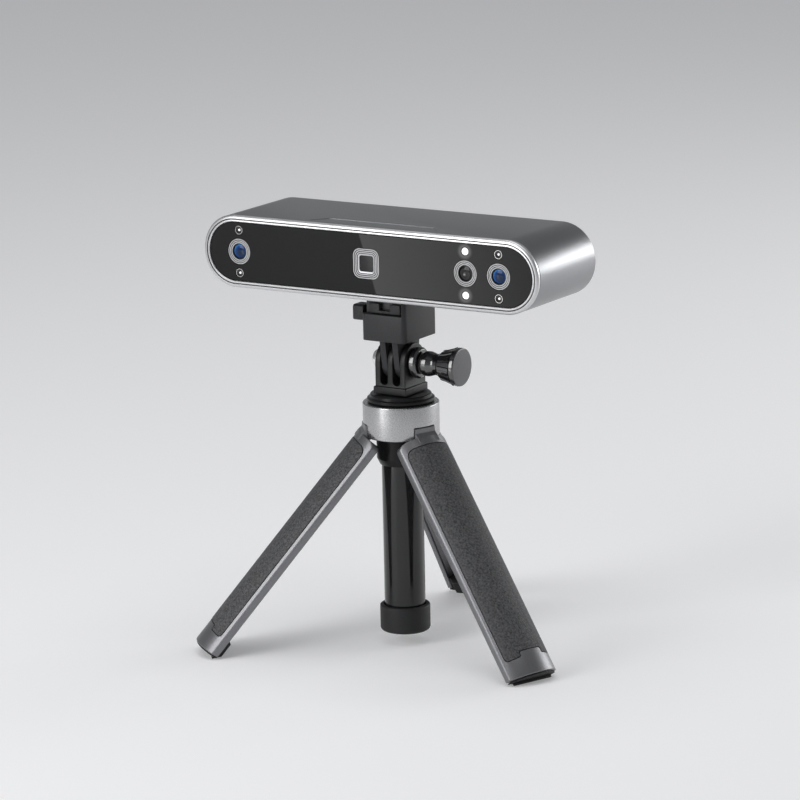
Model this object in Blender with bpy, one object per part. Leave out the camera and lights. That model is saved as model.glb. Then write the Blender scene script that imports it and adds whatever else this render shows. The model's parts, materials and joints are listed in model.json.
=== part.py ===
"""Structured-light hand scanner on a folding table tripod, built as separate pieces.

Lengths are metres and angles are degrees. +Z is up, the scanner's long side lies along X and
its glass front faces -Y. The pieces are laid out around the tripod's column axis, standing on
the floor, and the whole model is then shifted so that the origin is the centre of its footprint.
"""
import math

import bmesh
import bpy
from mathutils import Matrix, Vector

# General fits
GAP = 0.0003            # between pieces that sit against each other
RUNNING_GAP = 0.0004    # between pieces that turn or slide on each other
ROUND_SIDES = 32        # sides of a large turned piece
SMALL_SIDES = 20        # sides of a small turned piece
ARC_STEPS = 14          # steps in a half circle of the scanner's outline

# Scanner body
HEAD_WIDTH = 0.153
HEAD_HEIGHT = 0.029
HEAD_DEPTH = 0.045
HOUSING_WALL = 0.0018
BEZEL_DEPTH = 0.0016
BEZEL_CHAMFER = 0.0008
BEZEL_FACE = 0.0026         # width of the bright rim seen from the front
GLASS_THICKNESS = 0.0011
GLASS_RECESS = 0.0005
CHASSIS_THICKNESS = 0.0030
REAR_COVER_THICKNESS = 0.0016
REAR_COVER_INSET = 0.0010

# Cameras, projector and lamps
LEFT_CAMERA_INSET = 0.0164  # camera centres, from the ends of the scanner
RIGHT_CAMERA_INSET = 0.0178
COLOR_CAMERA_SPACING = 0.0148
PROJECTOR_X = -0.0010
LAMP_OFFSET = 0.0086        # lamps above and below each camera
CAMERA_RADIUS = 0.0051
CAMERA_LENGTH = 0.0110
LENS_RADIUS = 0.0028
LENS_SEAT_DEPTH = 0.0024
LENS_DOME = 0.0008
PROJECTOR_SIDE = 0.0118
PROJECTOR_CORNER = 0.0030
PROJECTOR_LENGTH = 0.0140
WINDOW_SIDE = 0.0062
WINDOW_CORNER = 0.0010
WINDOW_SEAT_DEPTH = 0.0018
WINDOW_THICKNESS = 0.0010
LAMP_RADIUS = 0.0018
LAMP_LENGTH = 0.0052
LAMP_CUP_RADIUS = 0.0012
LAMP_CUP_DEPTH = 0.0008

# Electronics and rear controls
BOARD_INSET = 0.0205        # board ends, from the ends of the scanner
BOARD_HEIGHT = 0.020
BOARD_THICKNESS = 0.0016
BOARD_Y = 0.0100
BOARD_POST_INSET = 0.0060   # board posts, from the ends of the board
BOARD_POST_Z = 0.0062
BOARD_POST_RADIUS = 0.0022
COVER_POST_INSET = 0.0073   # cover posts, from the ends of the scanner
COVER_POST_RADIUS = 0.0026
SCREW_RADIUS = 0.0010
SCREW_LENGTH = 0.0060
SCREW_HEAD_RADIUS = 0.0019
SCREW_HEAD_HEIGHT = 0.0010
PORT_X = 0.018
PORT_WIDTH = 0.0090
PORT_HEIGHT = 0.0034
PORT_WALL = 0.0004
PORT_LENGTH = 0.0100
PORT_MOUTH_DEPTH = 0.0062
BUTTON_X = -0.018
BUTTON_RADIUS = 0.0042
BUTTON_PROUD = 0.0007
BUTTON_TRAVEL = 0.0005
BUTTON_RIM = 0.0008         # flange behind the cover that keeps the button in
BUTTON_RIM_THICKNESS = 0.0008
SWITCH_SIDE = 0.0045
SWITCH_HEIGHT = 0.0026
LIGHT_X = 0.0
LIGHT_RADIUS = 0.0011
LIGHT_PROUD = 0.0003

# Quick-release adapter under the scanner
INSERT_RADIUS = 0.0042
INSERT_FLANGE_RADIUS = 0.0062
INSERT_FLANGE_THICKNESS = 0.0012
THREAD_RADIUS = 0.0030
INSERT_HEIGHT = 0.0075
SHOE_LEFT = -0.0095
SHOE_HEIGHT = 0.0077
SHOE_FRONT_Y = -0.0088
SHOE_REAR_Y = 0.0066
SCREW_SEAT_RADIUS = 0.0056
SCREW_SEAT_DEPTH = 0.0030
SHOE_SCREW_HEAD_HEIGHT = 0.0024
BUCKLE_WIDTH = 0.0200
BUCKLE_FRONT_Y = -0.0125
BUCKLE_REAR_Y = 0.0123
BUCKLE_HEIGHT = 0.0182      # from the scanner's underside to the bottom of the buckle
BUCKLE_FRONT_DROP = 0.0077  # from the scanner's underside to the top of the front wall
BUCKLE_BASE = 0.0066
BUCKLE_CORNER = 0.0022
BUCKLE_SIDE = 0.0014        # wall that closes the channel on the right
LATCH_HEIGHT = 0.0040
LATCH_TAB_WIDTH = 0.0048
LATCH_STRIP = 0.0012
LATCH_THICKNESS = 0.0016
RELEASE_LENGTH = 0.0046
RELEASE_DEPTH = 0.0070
RELEASE_Y = -0.0045
RELEASE_HEIGHT = 0.0062
RELEASE_DROP = 0.0054       # from the scanner's underside to the top of the release button
RELEASE_GAP = 0.0018        # between the button's head and the buckle's side
RELEASE_STEM_LENGTH = 0.0060
RELEASE_STEM_HEIGHT = 0.0028

# Tilt joint
TILT_DROP = 0.0280          # from the scanner's underside down to the tilt axis
PRONG = 0.0024              # thickness of each of the three lower prongs
SLOT = 0.0033               # width of each slot between the lower prongs
PRONG_RADIUS = 0.0077
UPPER_PRONG_RADIUS = 0.0071
UPPER_PRONG_ROOT = 0.0090
FORK_DROP = 0.0124          # from the tilt axis to the fork's foot
SLOT_DROP = 0.0086          # from the tilt axis to the bottom of the slots
FORK_FLANGE = 0.0030
FORK_FLANGE_STEP = 0.0006
BOLT_RADIUS = 0.0023
WASHER_RADIUS = 0.0062
WASHER_LENGTH = 0.0032
KNOB_LENGTH = 0.0192
KNOB_NECK_RADIUS = 0.0046
KNOB_END_RADIUS = 0.0076
NUT_RADIUS = 0.0045
NUT_LENGTH = 0.0042

# Column
ROD_HEAD_RADIUS = 0.0134
ROD_HEAD_HEIGHT = 0.0032
ROD_HEAD_CHAMFER = 0.0014
SPIGOT_LENGTH = 0.0100
COLLAR_RADIUS = 0.0152
COLLAR_HEIGHT = 0.0135
COLLAR_BEVEL = 0.0006
NECK_RADIUS = 0.0100
NECK_HEIGHT = 0.0113
NECK_TAPER = 0.0025
TUBE_RADIUS = 0.00815
TUBE_WALL = 0.0011
COLUMN_LENGTH = 0.0799      # from the collar's underside to the bottom of the column foot
COLUMN_FOOT_RADIUS = 0.0100
COLUMN_FOOT_HEIGHT = 0.0108
COLUMN_FOOT_FLOOR = 0.0030
COLUMN_FOOT_ROUND = 0.0015
ROD_WALL = 0.0010
ROD_TOP_DROP = 0.0010       # the nested rods end this far below the collar's top

# Legs
LEG_COUNT = 3
FIRST_LEG_AZIMUTH = -20.0   # degrees from +X
LEG_SPREAD = 39.4           # degrees from the column, standing
LEG_LENGTH = 0.1085         # from the hinge pin to the end of the shell's side walls
LEG_END_SLOPE = 20.0        # degrees by which the shell's end is cut towards the floor
HINGE_RADIUS = 0.0118       # from the column axis to the hinge pin
HINGE_RISE = 0.0030         # hinge pin above the collar's underside
PIN_RADIUS = 0.0009
PIN_LENGTH = 0.0168
KNUCKLE_RADIUS = 0.0020
KNUCKLE_WIDTH = 0.0096
KNUCKLE_WEB = 0.0092        # how far the knuckle runs down into the shell
LEG_HALF_WIDTH = 0.0117
LEG_WALL = 0.0020
LEG_SKIN = 0.0026
LEG_EDGE = 0.0069           # distance of the side walls' edges from the column axis, folded
LEG_TOP = 0.0038            # start of the shell below the hinge pin
PAD_TOP = 0.0074
PAD_LENGTH = 0.0942
PAD_BORDER = 0.0012
PAD_THICKNESS = 0.0011
PAD_PROUD = 0.00015
SOLE_CLEARANCE = 0.0010     # shell's lowest corner above the floor
FOOT_HEIGHT = 0.0100
FOOT_INWARD = 0.0012        # rubber foot past the side walls' edges
FOOT_SOLE = 0.0005          # sole past the side walls' edges, towards the outside
FOOT_NOSE = 0.0004          # rubber past the shell's cut end

# Heights worked out from the sizes above
SPREAD = math.radians(LEG_SPREAD)
EDGE_OFFSET = LEG_EDGE - HINGE_RADIUS
END_SLOPE = math.tan(math.radians(LEG_END_SLOPE))
HINGE_Z = LEG_LENGTH * math.cos(SPREAD) - EDGE_OFFSET * math.sin(SPREAD) + SOLE_CLEARANCE
COLLAR_BOTTOM = HINGE_Z - HINGE_RISE
COLLAR_TOP = COLLAR_BOTTOM + COLLAR_HEIGHT
COLUMN_BOTTOM = COLLAR_BOTTOM - COLUMN_LENGTH
ROD_HEAD_BOTTOM = COLLAR_TOP + GAP
ROD_HEAD_TOP = ROD_HEAD_BOTTOM + ROD_HEAD_HEIGHT
FORK_BOTTOM = ROD_HEAD_TOP + GAP
TILT_Z = FORK_BOTTOM + FORK_DROP
UNDERSIDE = TILT_Z + TILT_DROP
HEAD_Z = UNDERSIDE + HEAD_HEIGHT / 2
FRONT_Y = -HEAD_DEPTH / 2
REAR_Y = HEAD_DEPTH / 2
GLASS_FRONT = FRONT_Y + GLASS_RECESS
GLASS_BACK = GLASS_FRONT + GLASS_THICKNESS
CHASSIS_FRONT = GLASS_BACK + GAP
CHASSIS_BACK = CHASSIS_FRONT + CHASSIS_THICKNESS
LEFT_CAMERA_X = LEFT_CAMERA_INSET - HEAD_WIDTH / 2
RIGHT_CAMERA_X = HEAD_WIDTH / 2 - RIGHT_CAMERA_INSET
COLOR_CAMERA_X = RIGHT_CAMERA_X - COLOR_CAMERA_SPACING
BOARD_WIDTH = HEAD_WIDTH - 2 * BOARD_INSET
BOARD_POST_X = BOARD_WIDTH / 2 - BOARD_POST_INSET
COVER_POST_X = HEAD_WIDTH / 2 - COVER_POST_INSET
COVER_BACK = REAR_Y - REAR_COVER_INSET
COVER_FRONT = COVER_BACK - REAR_COVER_THICKNESS
FORK_WIDTH = 3 * PRONG + 2 * SLOT
UPPER_PRONG = SLOT - 2 * RUNNING_GAP
BUCKLE_BOTTOM = UNDERSIDE - BUCKLE_HEIGHT
SHOE_TOP = UNDERSIDE - GAP
SHOE_BOTTOM = SHOE_TOP - SHOE_HEIGHT
TUBE_BORE = TUBE_RADIUS - TUBE_WALL
LOWER_ROD_RADIUS = TUBE_BORE - RUNNING_GAP
LOWER_ROD_BORE = LOWER_ROD_RADIUS - ROD_WALL
UPPER_ROD_RADIUS = LOWER_ROD_BORE - RUNNING_GAP
UPPER_ROD_BORE = UPPER_ROD_RADIUS - ROD_WALL
ROD_BOTTOM = COLUMN_BOTTOM + COLUMN_FOOT_FLOOR + GAP
ROD_TOP = COLLAR_TOP - ROD_TOP_DROP
LEG_AZIMUTHS = {
    "right": FIRST_LEG_AZIMUTH,
    "rear": FIRST_LEG_AZIMUTH + 360 / LEG_COUNT,
    "left": FIRST_LEG_AZIMUTH + 2 * 360 / LEG_COUNT,
}

TO_FRONT = Matrix.Rotation(math.radians(90), 4, "X")    # turns +Z to -Y
TO_REAR = Matrix.Rotation(math.radians(-90), 4, "X")    # turns +Z to +Y
TO_RIGHT = Matrix.Rotation(math.radians(90), 4, "Y")    # turns +Z to +X
TO_LEFT = Matrix.Rotation(math.radians(-90), 4, "Y")    # turns +Z to -X
UPRIGHT = Matrix.Identity(4)

for leftover in list(bpy.data.objects):
    bpy.data.objects.remove(leftover, do_unlink=True)


def finish(name, color, roughness, metallic):
    """A plain surface finish."""
    material = bpy.data.materials.new(name)
    material.use_nodes = True
    shader = material.node_tree.nodes["Principled BSDF"]
    shader.inputs["Base Color"].default_value = (*color, 1)
    shader.inputs["Roughness"].default_value = roughness
    shader.inputs["Metallic"].default_value = metallic
    return material


ALUMINIUM = finish("grey_aluminium", (0.33, 0.33, 0.34), 0.35, 1.0)
BRIGHT_RIM = finish("polished_rim", (0.85, 0.85, 0.87), 0.15, 1.0)
BLACK_GLASS = finish("black_glass", (0.01, 0.01, 0.012), 0.05, 0.0)
LENS_BLUE = finish("coated_lens", (0.02, 0.05, 0.20), 0.05, 0.0)
RING_GREY = finish("camera_ring", (0.20, 0.20, 0.21), 0.35, 0.6)
CHROME = finish("chrome", (0.80, 0.80, 0.82), 0.10, 1.0)
LAMP_WHITE = finish("lamp_white", (0.95, 0.95, 0.97), 0.30, 0.0)
BOARD_GREEN = finish("circuit_board", (0.03, 0.16, 0.07), 0.50, 0.0)
BLACK_PLASTIC = finish("black_plastic", (0.025, 0.025, 0.028), 0.45, 0.0)
GLOSS_BLACK = finish("gloss_black", (0.012, 0.012, 0.014), 0.15, 0.3)
LEG_GREY = finish("leg_grey", (0.13, 0.13, 0.14), 0.45, 0.5)
PAD_BLACK = finish("grip_rubber", (0.035, 0.035, 0.038), 0.85, 0.0)
FOOT_RUBBER = finish("foot_rubber", (0.03, 0.03, 0.03), 0.80, 0.0)
BRASS = finish("brass", (0.70, 0.52, 0.22), 0.30, 1.0)

root = bpy.data.objects.new("scanner_frame", None)
bpy.context.scene.collection.objects.link(root)


def pivot(name, place, turn=(0, 0, 0)):
    """An empty on a joint's axis, which carries the pieces that move there."""
    empty = bpy.data.objects.new(name, None)
    bpy.context.scene.collection.objects.link(empty)
    empty.parent = root
    empty.location = place
    empty.rotation_euler = turn
    return empty


def piece(name, shape, material, carrier=None, smooth=True):
    """Turns a shape into a named object on the root or on a joint's pivot."""
    mesh = bpy.data.meshes.new(name)
    shape.to_mesh(mesh)
    shape.free()
    item = bpy.data.objects.new(name, mesh)
    bpy.context.scene.collection.objects.link(item)
    mesh.materials.append(material)
    if smooth:
        mesh.shade_smooth()
        mesh.set_sharp_from_angle(angle=math.radians(35))
    item.parent = carrier or root
    return item


def carve(item, shape, operation="DIFFERENCE"):
    """Cuts a shape from a piece, or joins it on, in the piece's own frame."""
    tool_mesh = bpy.data.meshes.new("tool")
    shape.to_mesh(tool_mesh)
    shape.free()
    tool = bpy.data.objects.new("tool", tool_mesh)
    bpy.context.scene.collection.objects.link(tool)
    tool.parent = item.parent
    modifier = item.modifiers.new("cut", "BOOLEAN")
    modifier.operation = operation
    modifier.object = tool
    modifier.solver = "EXACT"
    bpy.context.view_layer.update()
    evaluated = item.evaluated_get(bpy.context.evaluated_depsgraph_get())
    carved = bpy.data.meshes.new_from_object(evaluated)
    item.modifiers.remove(modifier)
    item.data = carved
    carved.shade_smooth()
    carved.set_sharp_from_angle(angle=math.radians(35))
    bpy.data.objects.remove(tool, do_unlink=True)


def loft(loops, cyclic=False):
    """Skins a row of equal loops, capped at both ends or closed on itself."""
    shape = bmesh.new()
    rows = [[shape.verts.new(point) for point in loop] for loop in loops]
    count = len(rows[0])
    followers = rows[1:] + rows[:1] if cyclic else rows[1:]
    for near, far in zip(rows, followers):
        for i in range(count):
            j = (i + 1) % count
            shape.faces.new((near[i], near[j], far[j], far[i]))
    if not cyclic:
        shape.faces.new(rows[0])
        shape.faces.new(rows[-1])
    bmesh.ops.recalc_face_normals(shape, faces=shape.faces)
    return shape


def turned(profile, place, direction=UPRIGHT, sides=SMALL_SIDES, hollow=False):
    """Turns (radius, height) points about an axis; a hollow profile closes on itself."""
    loops = []
    for radius, height in profile:
        ring = []
        for i in range(sides):
            angle = 2 * math.pi * i / sides
            ring.append(Vector((radius * math.cos(angle), radius * math.sin(angle), height)))
        loops.append(ring)
    shape = loft(loops, cyclic=hollow)
    shape.transform(Matrix.Translation(place) @ direction)
    return shape


def rod(radius, place, length, direction=UPRIGHT, sides=SMALL_SIDES):
    """A plain round bar that starts at a place and runs along a direction."""
    return turned([(radius, 0), (radius, length)], place, direction, sides)


def block(low, high):
    """A box between two corners."""
    corners = [(low[0], low[1]), (high[0], low[1]), (high[0], high[1]), (low[0], high[1])]
    return loft([[(x, y, z) for x, y in corners] for z in (low[2], high[2])])


def stadium(width, height, y, center_z):
    """The scanner's outline: two half circles joined by straight runs, in the XZ plane."""
    radius = height / 2
    straight = width / 2 - radius
    loop = []
    for side in (1, -1):
        for i in range(ARC_STEPS + 1):
            angle = math.pi * i / ARC_STEPS
            x = side * (straight + radius * math.sin(angle))
            z = side * radius * math.cos(angle)
            loop.append((x, y, center_z + z))
    return loop


def head_loop(inset, y):
    """The scanner's outline drawn in by an inset."""
    return stadium(HEAD_WIDTH - 2 * inset, HEAD_HEIGHT - 2 * inset, y, HEAD_Z)


def rounded_square(width, height, corner, center_x, center_z, y):
    """A rectangle with round corners, in the XZ plane."""
    loop = []
    for quarter, (sx, sz) in enumerate(((1, 1), (-1, 1), (-1, -1), (1, -1))):
        for i in range(5):
            angle = math.pi / 2 * (quarter + i / 4)
            x = sx * (width / 2 - corner) + corner * math.cos(angle)
            z = sz * (height / 2 - corner) + corner * math.sin(angle)
            loop.append((center_x + x, y, center_z + z))
    return loop


def rounded_plan(x_half, y_low, y_high, corner, z):
    """A rectangle with round corners, in the XY plane."""
    middle = (y_low + y_high) / 2
    loop = rounded_square(2 * x_half, y_high - y_low, corner, 0, 0, 0)
    return [(x, middle + depth, z) for x, _, depth in loop]


CAMERAS = {
    "left_depth": LEFT_CAMERA_X,
    "color": COLOR_CAMERA_X,
    "right_depth": RIGHT_CAMERA_X,
}
LAMPS = {
    "ir_lamp_left_upper": (LEFT_CAMERA_X, LAMP_OFFSET),
    "ir_lamp_left_lower": (LEFT_CAMERA_X, -LAMP_OFFSET),
    "ir_lamp_right_upper": (RIGHT_CAMERA_X, LAMP_OFFSET),
    "ir_lamp_right_lower": (RIGHT_CAMERA_X, -LAMP_OFFSET),
    "fill_light_upper": (COLOR_CAMERA_X, LAMP_OFFSET),
    "fill_light_lower": (COLOR_CAMERA_X, -LAMP_OFFSET),
}


def cut_front_openings(item, depth):
    """Cuts the camera, lamp and projector openings through a plate behind the front."""
    start_y = FRONT_Y
    for x in CAMERAS.values():
        hole = rod(CAMERA_RADIUS + GAP, (x, start_y, HEAD_Z), depth, TO_REAR)
        carve(item, hole)
    for x, z in LAMPS.values():
        hole = rod(LAMP_RADIUS + GAP, (x, start_y, HEAD_Z + z), depth, TO_REAR)
        carve(item, hole)
    side = PROJECTOR_SIDE + 2 * GAP
    mouth = [rounded_square(side, side, PROJECTOR_CORNER + GAP, PROJECTOR_X, HEAD_Z, y)
             for y in (start_y, start_y + depth)]
    carve(item, loft(mouth))


def build_shell():
    """Aluminium housing, polished front rim, black glass and rear cover."""
    housing_front = FRONT_Y + BEZEL_DEPTH + GAP
    housing = loft([head_loop(0, housing_front), head_loop(0, REAR_Y),
                    head_loop(HOUSING_WALL, REAR_Y), head_loop(HOUSING_WALL, housing_front)], cyclic=True)
    housing = piece("head_housing", housing, ALUMINIUM)
    insert_hole = rod(INSERT_RADIUS + GAP, (0, 0, UNDERSIDE - HOUSING_WALL), 3 * HOUSING_WALL)
    carve(housing, insert_hole)

    bezel_back = FRONT_Y + BEZEL_DEPTH
    rim = loft([head_loop(0, bezel_back), head_loop(0, FRONT_Y + BEZEL_CHAMFER),
                head_loop(BEZEL_CHAMFER, FRONT_Y), head_loop(BEZEL_FACE, FRONT_Y),
                head_loop(BEZEL_FACE, bezel_back)], cyclic=True)
    piece("front_rim", rim, BRIGHT_RIM)

    glass = loft([head_loop(BEZEL_FACE + GAP, GLASS_FRONT), head_loop(BEZEL_FACE + GAP, GLASS_BACK)])
    glass = piece("front_glass", glass, BLACK_GLASS)
    cut_front_openings(glass, GLASS_BACK - FRONT_Y + GLASS_THICKNESS)

    inset = HOUSING_WALL + GAP
    cover = loft([head_loop(inset, COVER_FRONT), head_loop(inset, COVER_BACK)])
    cover = piece("rear_cover", cover, BLACK_PLASTIC)
    through = 3 * REAR_COVER_THICKNESS
    start_y = COVER_FRONT - REAR_COVER_THICKNESS
    carve(cover, rod(BUTTON_RADIUS + RUNNING_GAP, (BUTTON_X, start_y, HEAD_Z), through, TO_REAR))
    carve(cover, rod(LIGHT_RADIUS + GAP, (LIGHT_X, start_y, HEAD_Z), through, TO_REAR))
    for side in (-1, 1):
        carve(cover, rod(SCREW_RADIUS + GAP, (side * COVER_POST_X, start_y, HEAD_Z), through, TO_REAR))
    port_width = PORT_WIDTH + 2 * GAP
    port_height = PORT_HEIGHT + 2 * GAP
    port = [rounded_square(port_width, port_height, port_height / 2.2, PORT_X, HEAD_Z, y)
            for y in (start_y, start_y + through)]
    carve(cover, loft(port))


def build_chassis():
    """Front plate that holds the cameras and lamps, with posts for the board and the cover."""
    inset = HOUSING_WALL + GAP
    chassis = loft([head_loop(inset, CHASSIS_FRONT), head_loop(inset, CHASSIS_BACK)])
    chassis = piece("front_chassis", chassis, RING_GREY)
    cut_front_openings(chassis, CHASSIS_BACK - FRONT_Y + CHASSIS_THICKNESS)
    sunk = CHASSIS_BACK - CHASSIS_THICKNESS / 2
    for x in (-BOARD_POST_X, BOARD_POST_X):
        for z in (-BOARD_POST_Z, BOARD_POST_Z):
            place = (x, sunk, HEAD_Z + z)
            carve(chassis, rod(BOARD_POST_RADIUS, place, BOARD_Y - GAP - sunk, TO_REAR, 12), "UNION")
    for x in (-COVER_POST_X, COVER_POST_X):
        post_end = COVER_FRONT - GAP
        carve(chassis, rod(COVER_POST_RADIUS, (x, sunk, HEAD_Z), post_end - sunk, TO_REAR, 12), "UNION")
        hole_start = post_end - SCREW_LENGTH
        carve(chassis, rod(SCREW_RADIUS + GAP, (x, hole_start, HEAD_Z), 2 * SCREW_LENGTH, TO_REAR, 12))


def build_cameras():
    """Three camera barrels with their lenses, the pattern projector and six lamps."""
    for name, x in CAMERAS.items():
        seat = LENS_RADIUS + GAP
        barrel = [(CAMERA_RADIUS, 0), (CAMERA_RADIUS, CAMERA_LENGTH), (seat, CAMERA_LENGTH),
                  (seat, CAMERA_LENGTH - LENS_SEAT_DEPTH), (seat / 8, CAMERA_LENGTH - LENS_SEAT_DEPTH)]
        foot = (x, GLASS_FRONT + CAMERA_LENGTH, HEAD_Z)
        piece(name + "_camera", turned(barrel, foot, TO_FRONT), RING_GREY)
        lens_back = CAMERA_LENGTH - LENS_SEAT_DEPTH + GAP
        dome = [(LENS_RADIUS, lens_back), (LENS_RADIUS, CAMERA_LENGTH - 2 * LENS_DOME)]
        for step in (1, 2, 3):
            angle = math.pi / 2 * step / 4
            dome.append((LENS_RADIUS * math.cos(angle), CAMERA_LENGTH - (2 - math.sin(angle)) * LENS_DOME))
        piece(name + "_lens", turned(dome, foot, TO_FRONT), LENS_BLUE)

    seat_side = WINDOW_SIDE + 2 * GAP
    floor_y = GLASS_FRONT + WINDOW_SEAT_DEPTH
    body = loft([rounded_square(PROJECTOR_SIDE, PROJECTOR_SIDE, PROJECTOR_CORNER, PROJECTOR_X, HEAD_Z, y)
                 for y in (GLASS_FRONT + PROJECTOR_LENGTH, GLASS_FRONT)])
    body = piece("projector_module", body, RING_GREY)
    carve(body, loft([rounded_square(seat_side, seat_side, WINDOW_CORNER, PROJECTOR_X, HEAD_Z, y)
                      for y in (floor_y, FRONT_Y)]))
    window_back = floor_y - GAP
    window = loft([rounded_square(WINDOW_SIDE, WINDOW_SIDE, WINDOW_CORNER, PROJECTOR_X, HEAD_Z, y)
                   for y in (window_back, window_back - WINDOW_THICKNESS)])
    piece("projector_window", window, BLACK_GLASS)

    for name, (x, z) in LAMPS.items():
        cup = [(LAMP_RADIUS, 0), (LAMP_RADIUS, LAMP_LENGTH), (LAMP_CUP_RADIUS, LAMP_LENGTH),
               (LAMP_CUP_RADIUS / 2, LAMP_LENGTH - LAMP_CUP_DEPTH)]
        material = LAMP_WHITE if name.startswith("fill") else CHROME
        piece(name, turned(cup, (x, GLASS_FRONT + LAMP_LENGTH, HEAD_Z + z), TO_FRONT, 16), material)


def build_electronics():
    """Main board, its port, switch and light guide, the cover screws and the start button."""
    half_width = BOARD_WIDTH / 2
    half_height = BOARD_HEIGHT / 2
    board = block((-half_width, BOARD_Y, HEAD_Z - half_height),
                  (half_width, BOARD_Y + BOARD_THICKNESS, HEAD_Z + half_height))
    piece("main_board", board, BOARD_GREEN, smooth=False)

    port_back = BOARD_Y + BOARD_THICKNESS + GAP
    port_front = port_back + PORT_LENGTH
    mouth_floor = port_front - PORT_MOUTH_DEPTH
    inner_width = PORT_WIDTH - 2 * PORT_WALL
    inner_height = PORT_HEIGHT - 2 * PORT_WALL

    def port_loop(width, height, y):
        return rounded_square(width, height, height / 2.2, PORT_X, HEAD_Z, y)

    port = loft([port_loop(PORT_WIDTH, PORT_HEIGHT, port_back), port_loop(PORT_WIDTH, PORT_HEIGHT, port_front),
                 port_loop(inner_width, inner_height, port_front),
                 port_loop(inner_width, inner_height, mouth_floor)])
    piece("data_port", port, CHROME)

    button_back = COVER_FRONT - GAP - BUTTON_RIM_THICKNESS
    switch_top = button_back - BUTTON_TRAVEL - GAP
    switch_back = BOARD_Y + BOARD_THICKNESS + GAP
    plunger_start = switch_back + SWITCH_HEIGHT
    half = SWITCH_SIDE / 2
    switch = piece("button_switch", block((BUTTON_X - half, switch_back, HEAD_Z - half),
                                          (BUTTON_X + half, plunger_start, HEAD_Z + half)), BLACK_PLASTIC)
    plunger_foot = (BUTTON_X, plunger_start - SWITCH_HEIGHT / 2, HEAD_Z)
    carve(switch, rod(half / 2, plunger_foot, switch_top - plunger_foot[1], TO_REAR, 12), "UNION")

    button_pivot = pivot("start_button_slide", (BUTTON_X, COVER_BACK, HEAD_Z))
    rim_radius = BUTTON_RADIUS + RUNNING_GAP + BUTTON_RIM
    back = button_back - COVER_BACK
    cap = [(rim_radius, back), (rim_radius, back + BUTTON_RIM_THICKNESS),
           (BUTTON_RADIUS, back + BUTTON_RIM_THICKNESS), (BUTTON_RADIUS, BUTTON_PROUD * 0.6),
           (BUTTON_RADIUS * 0.9, BUTTON_PROUD)]
    piece("start_button", turned(cap, (0, 0, 0), TO_REAR), BLACK_PLASTIC, button_pivot)

    guide_start = BOARD_Y + BOARD_THICKNESS + GAP
    guide = rod(LIGHT_RADIUS, (LIGHT_X, guide_start, HEAD_Z), COVER_BACK + LIGHT_PROUD - guide_start, TO_REAR, 16)
    piece("status_light_guide", guide, LAMP_WHITE)

    head_seat = REAR_COVER_THICKNESS + GAP
    tip = head_seat - SCREW_LENGTH
    for side, x in (("left", -COVER_POST_X), ("right", COVER_POST_X)):
        screw = [(SCREW_RADIUS * 0.6, tip), (SCREW_RADIUS, tip + SCREW_RADIUS), (SCREW_RADIUS, head_seat),
                 (SCREW_HEAD_RADIUS, head_seat), (SCREW_HEAD_RADIUS, head_seat + SCREW_HEAD_HEIGHT * 0.6),
                 (SCREW_HEAD_RADIUS * 0.7, head_seat + SCREW_HEAD_HEIGHT)]
        piece("rear_screw_" + side, turned(screw, (x, COVER_FRONT, HEAD_Z), TO_REAR, 16), BLACK_PLASTIC)


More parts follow.
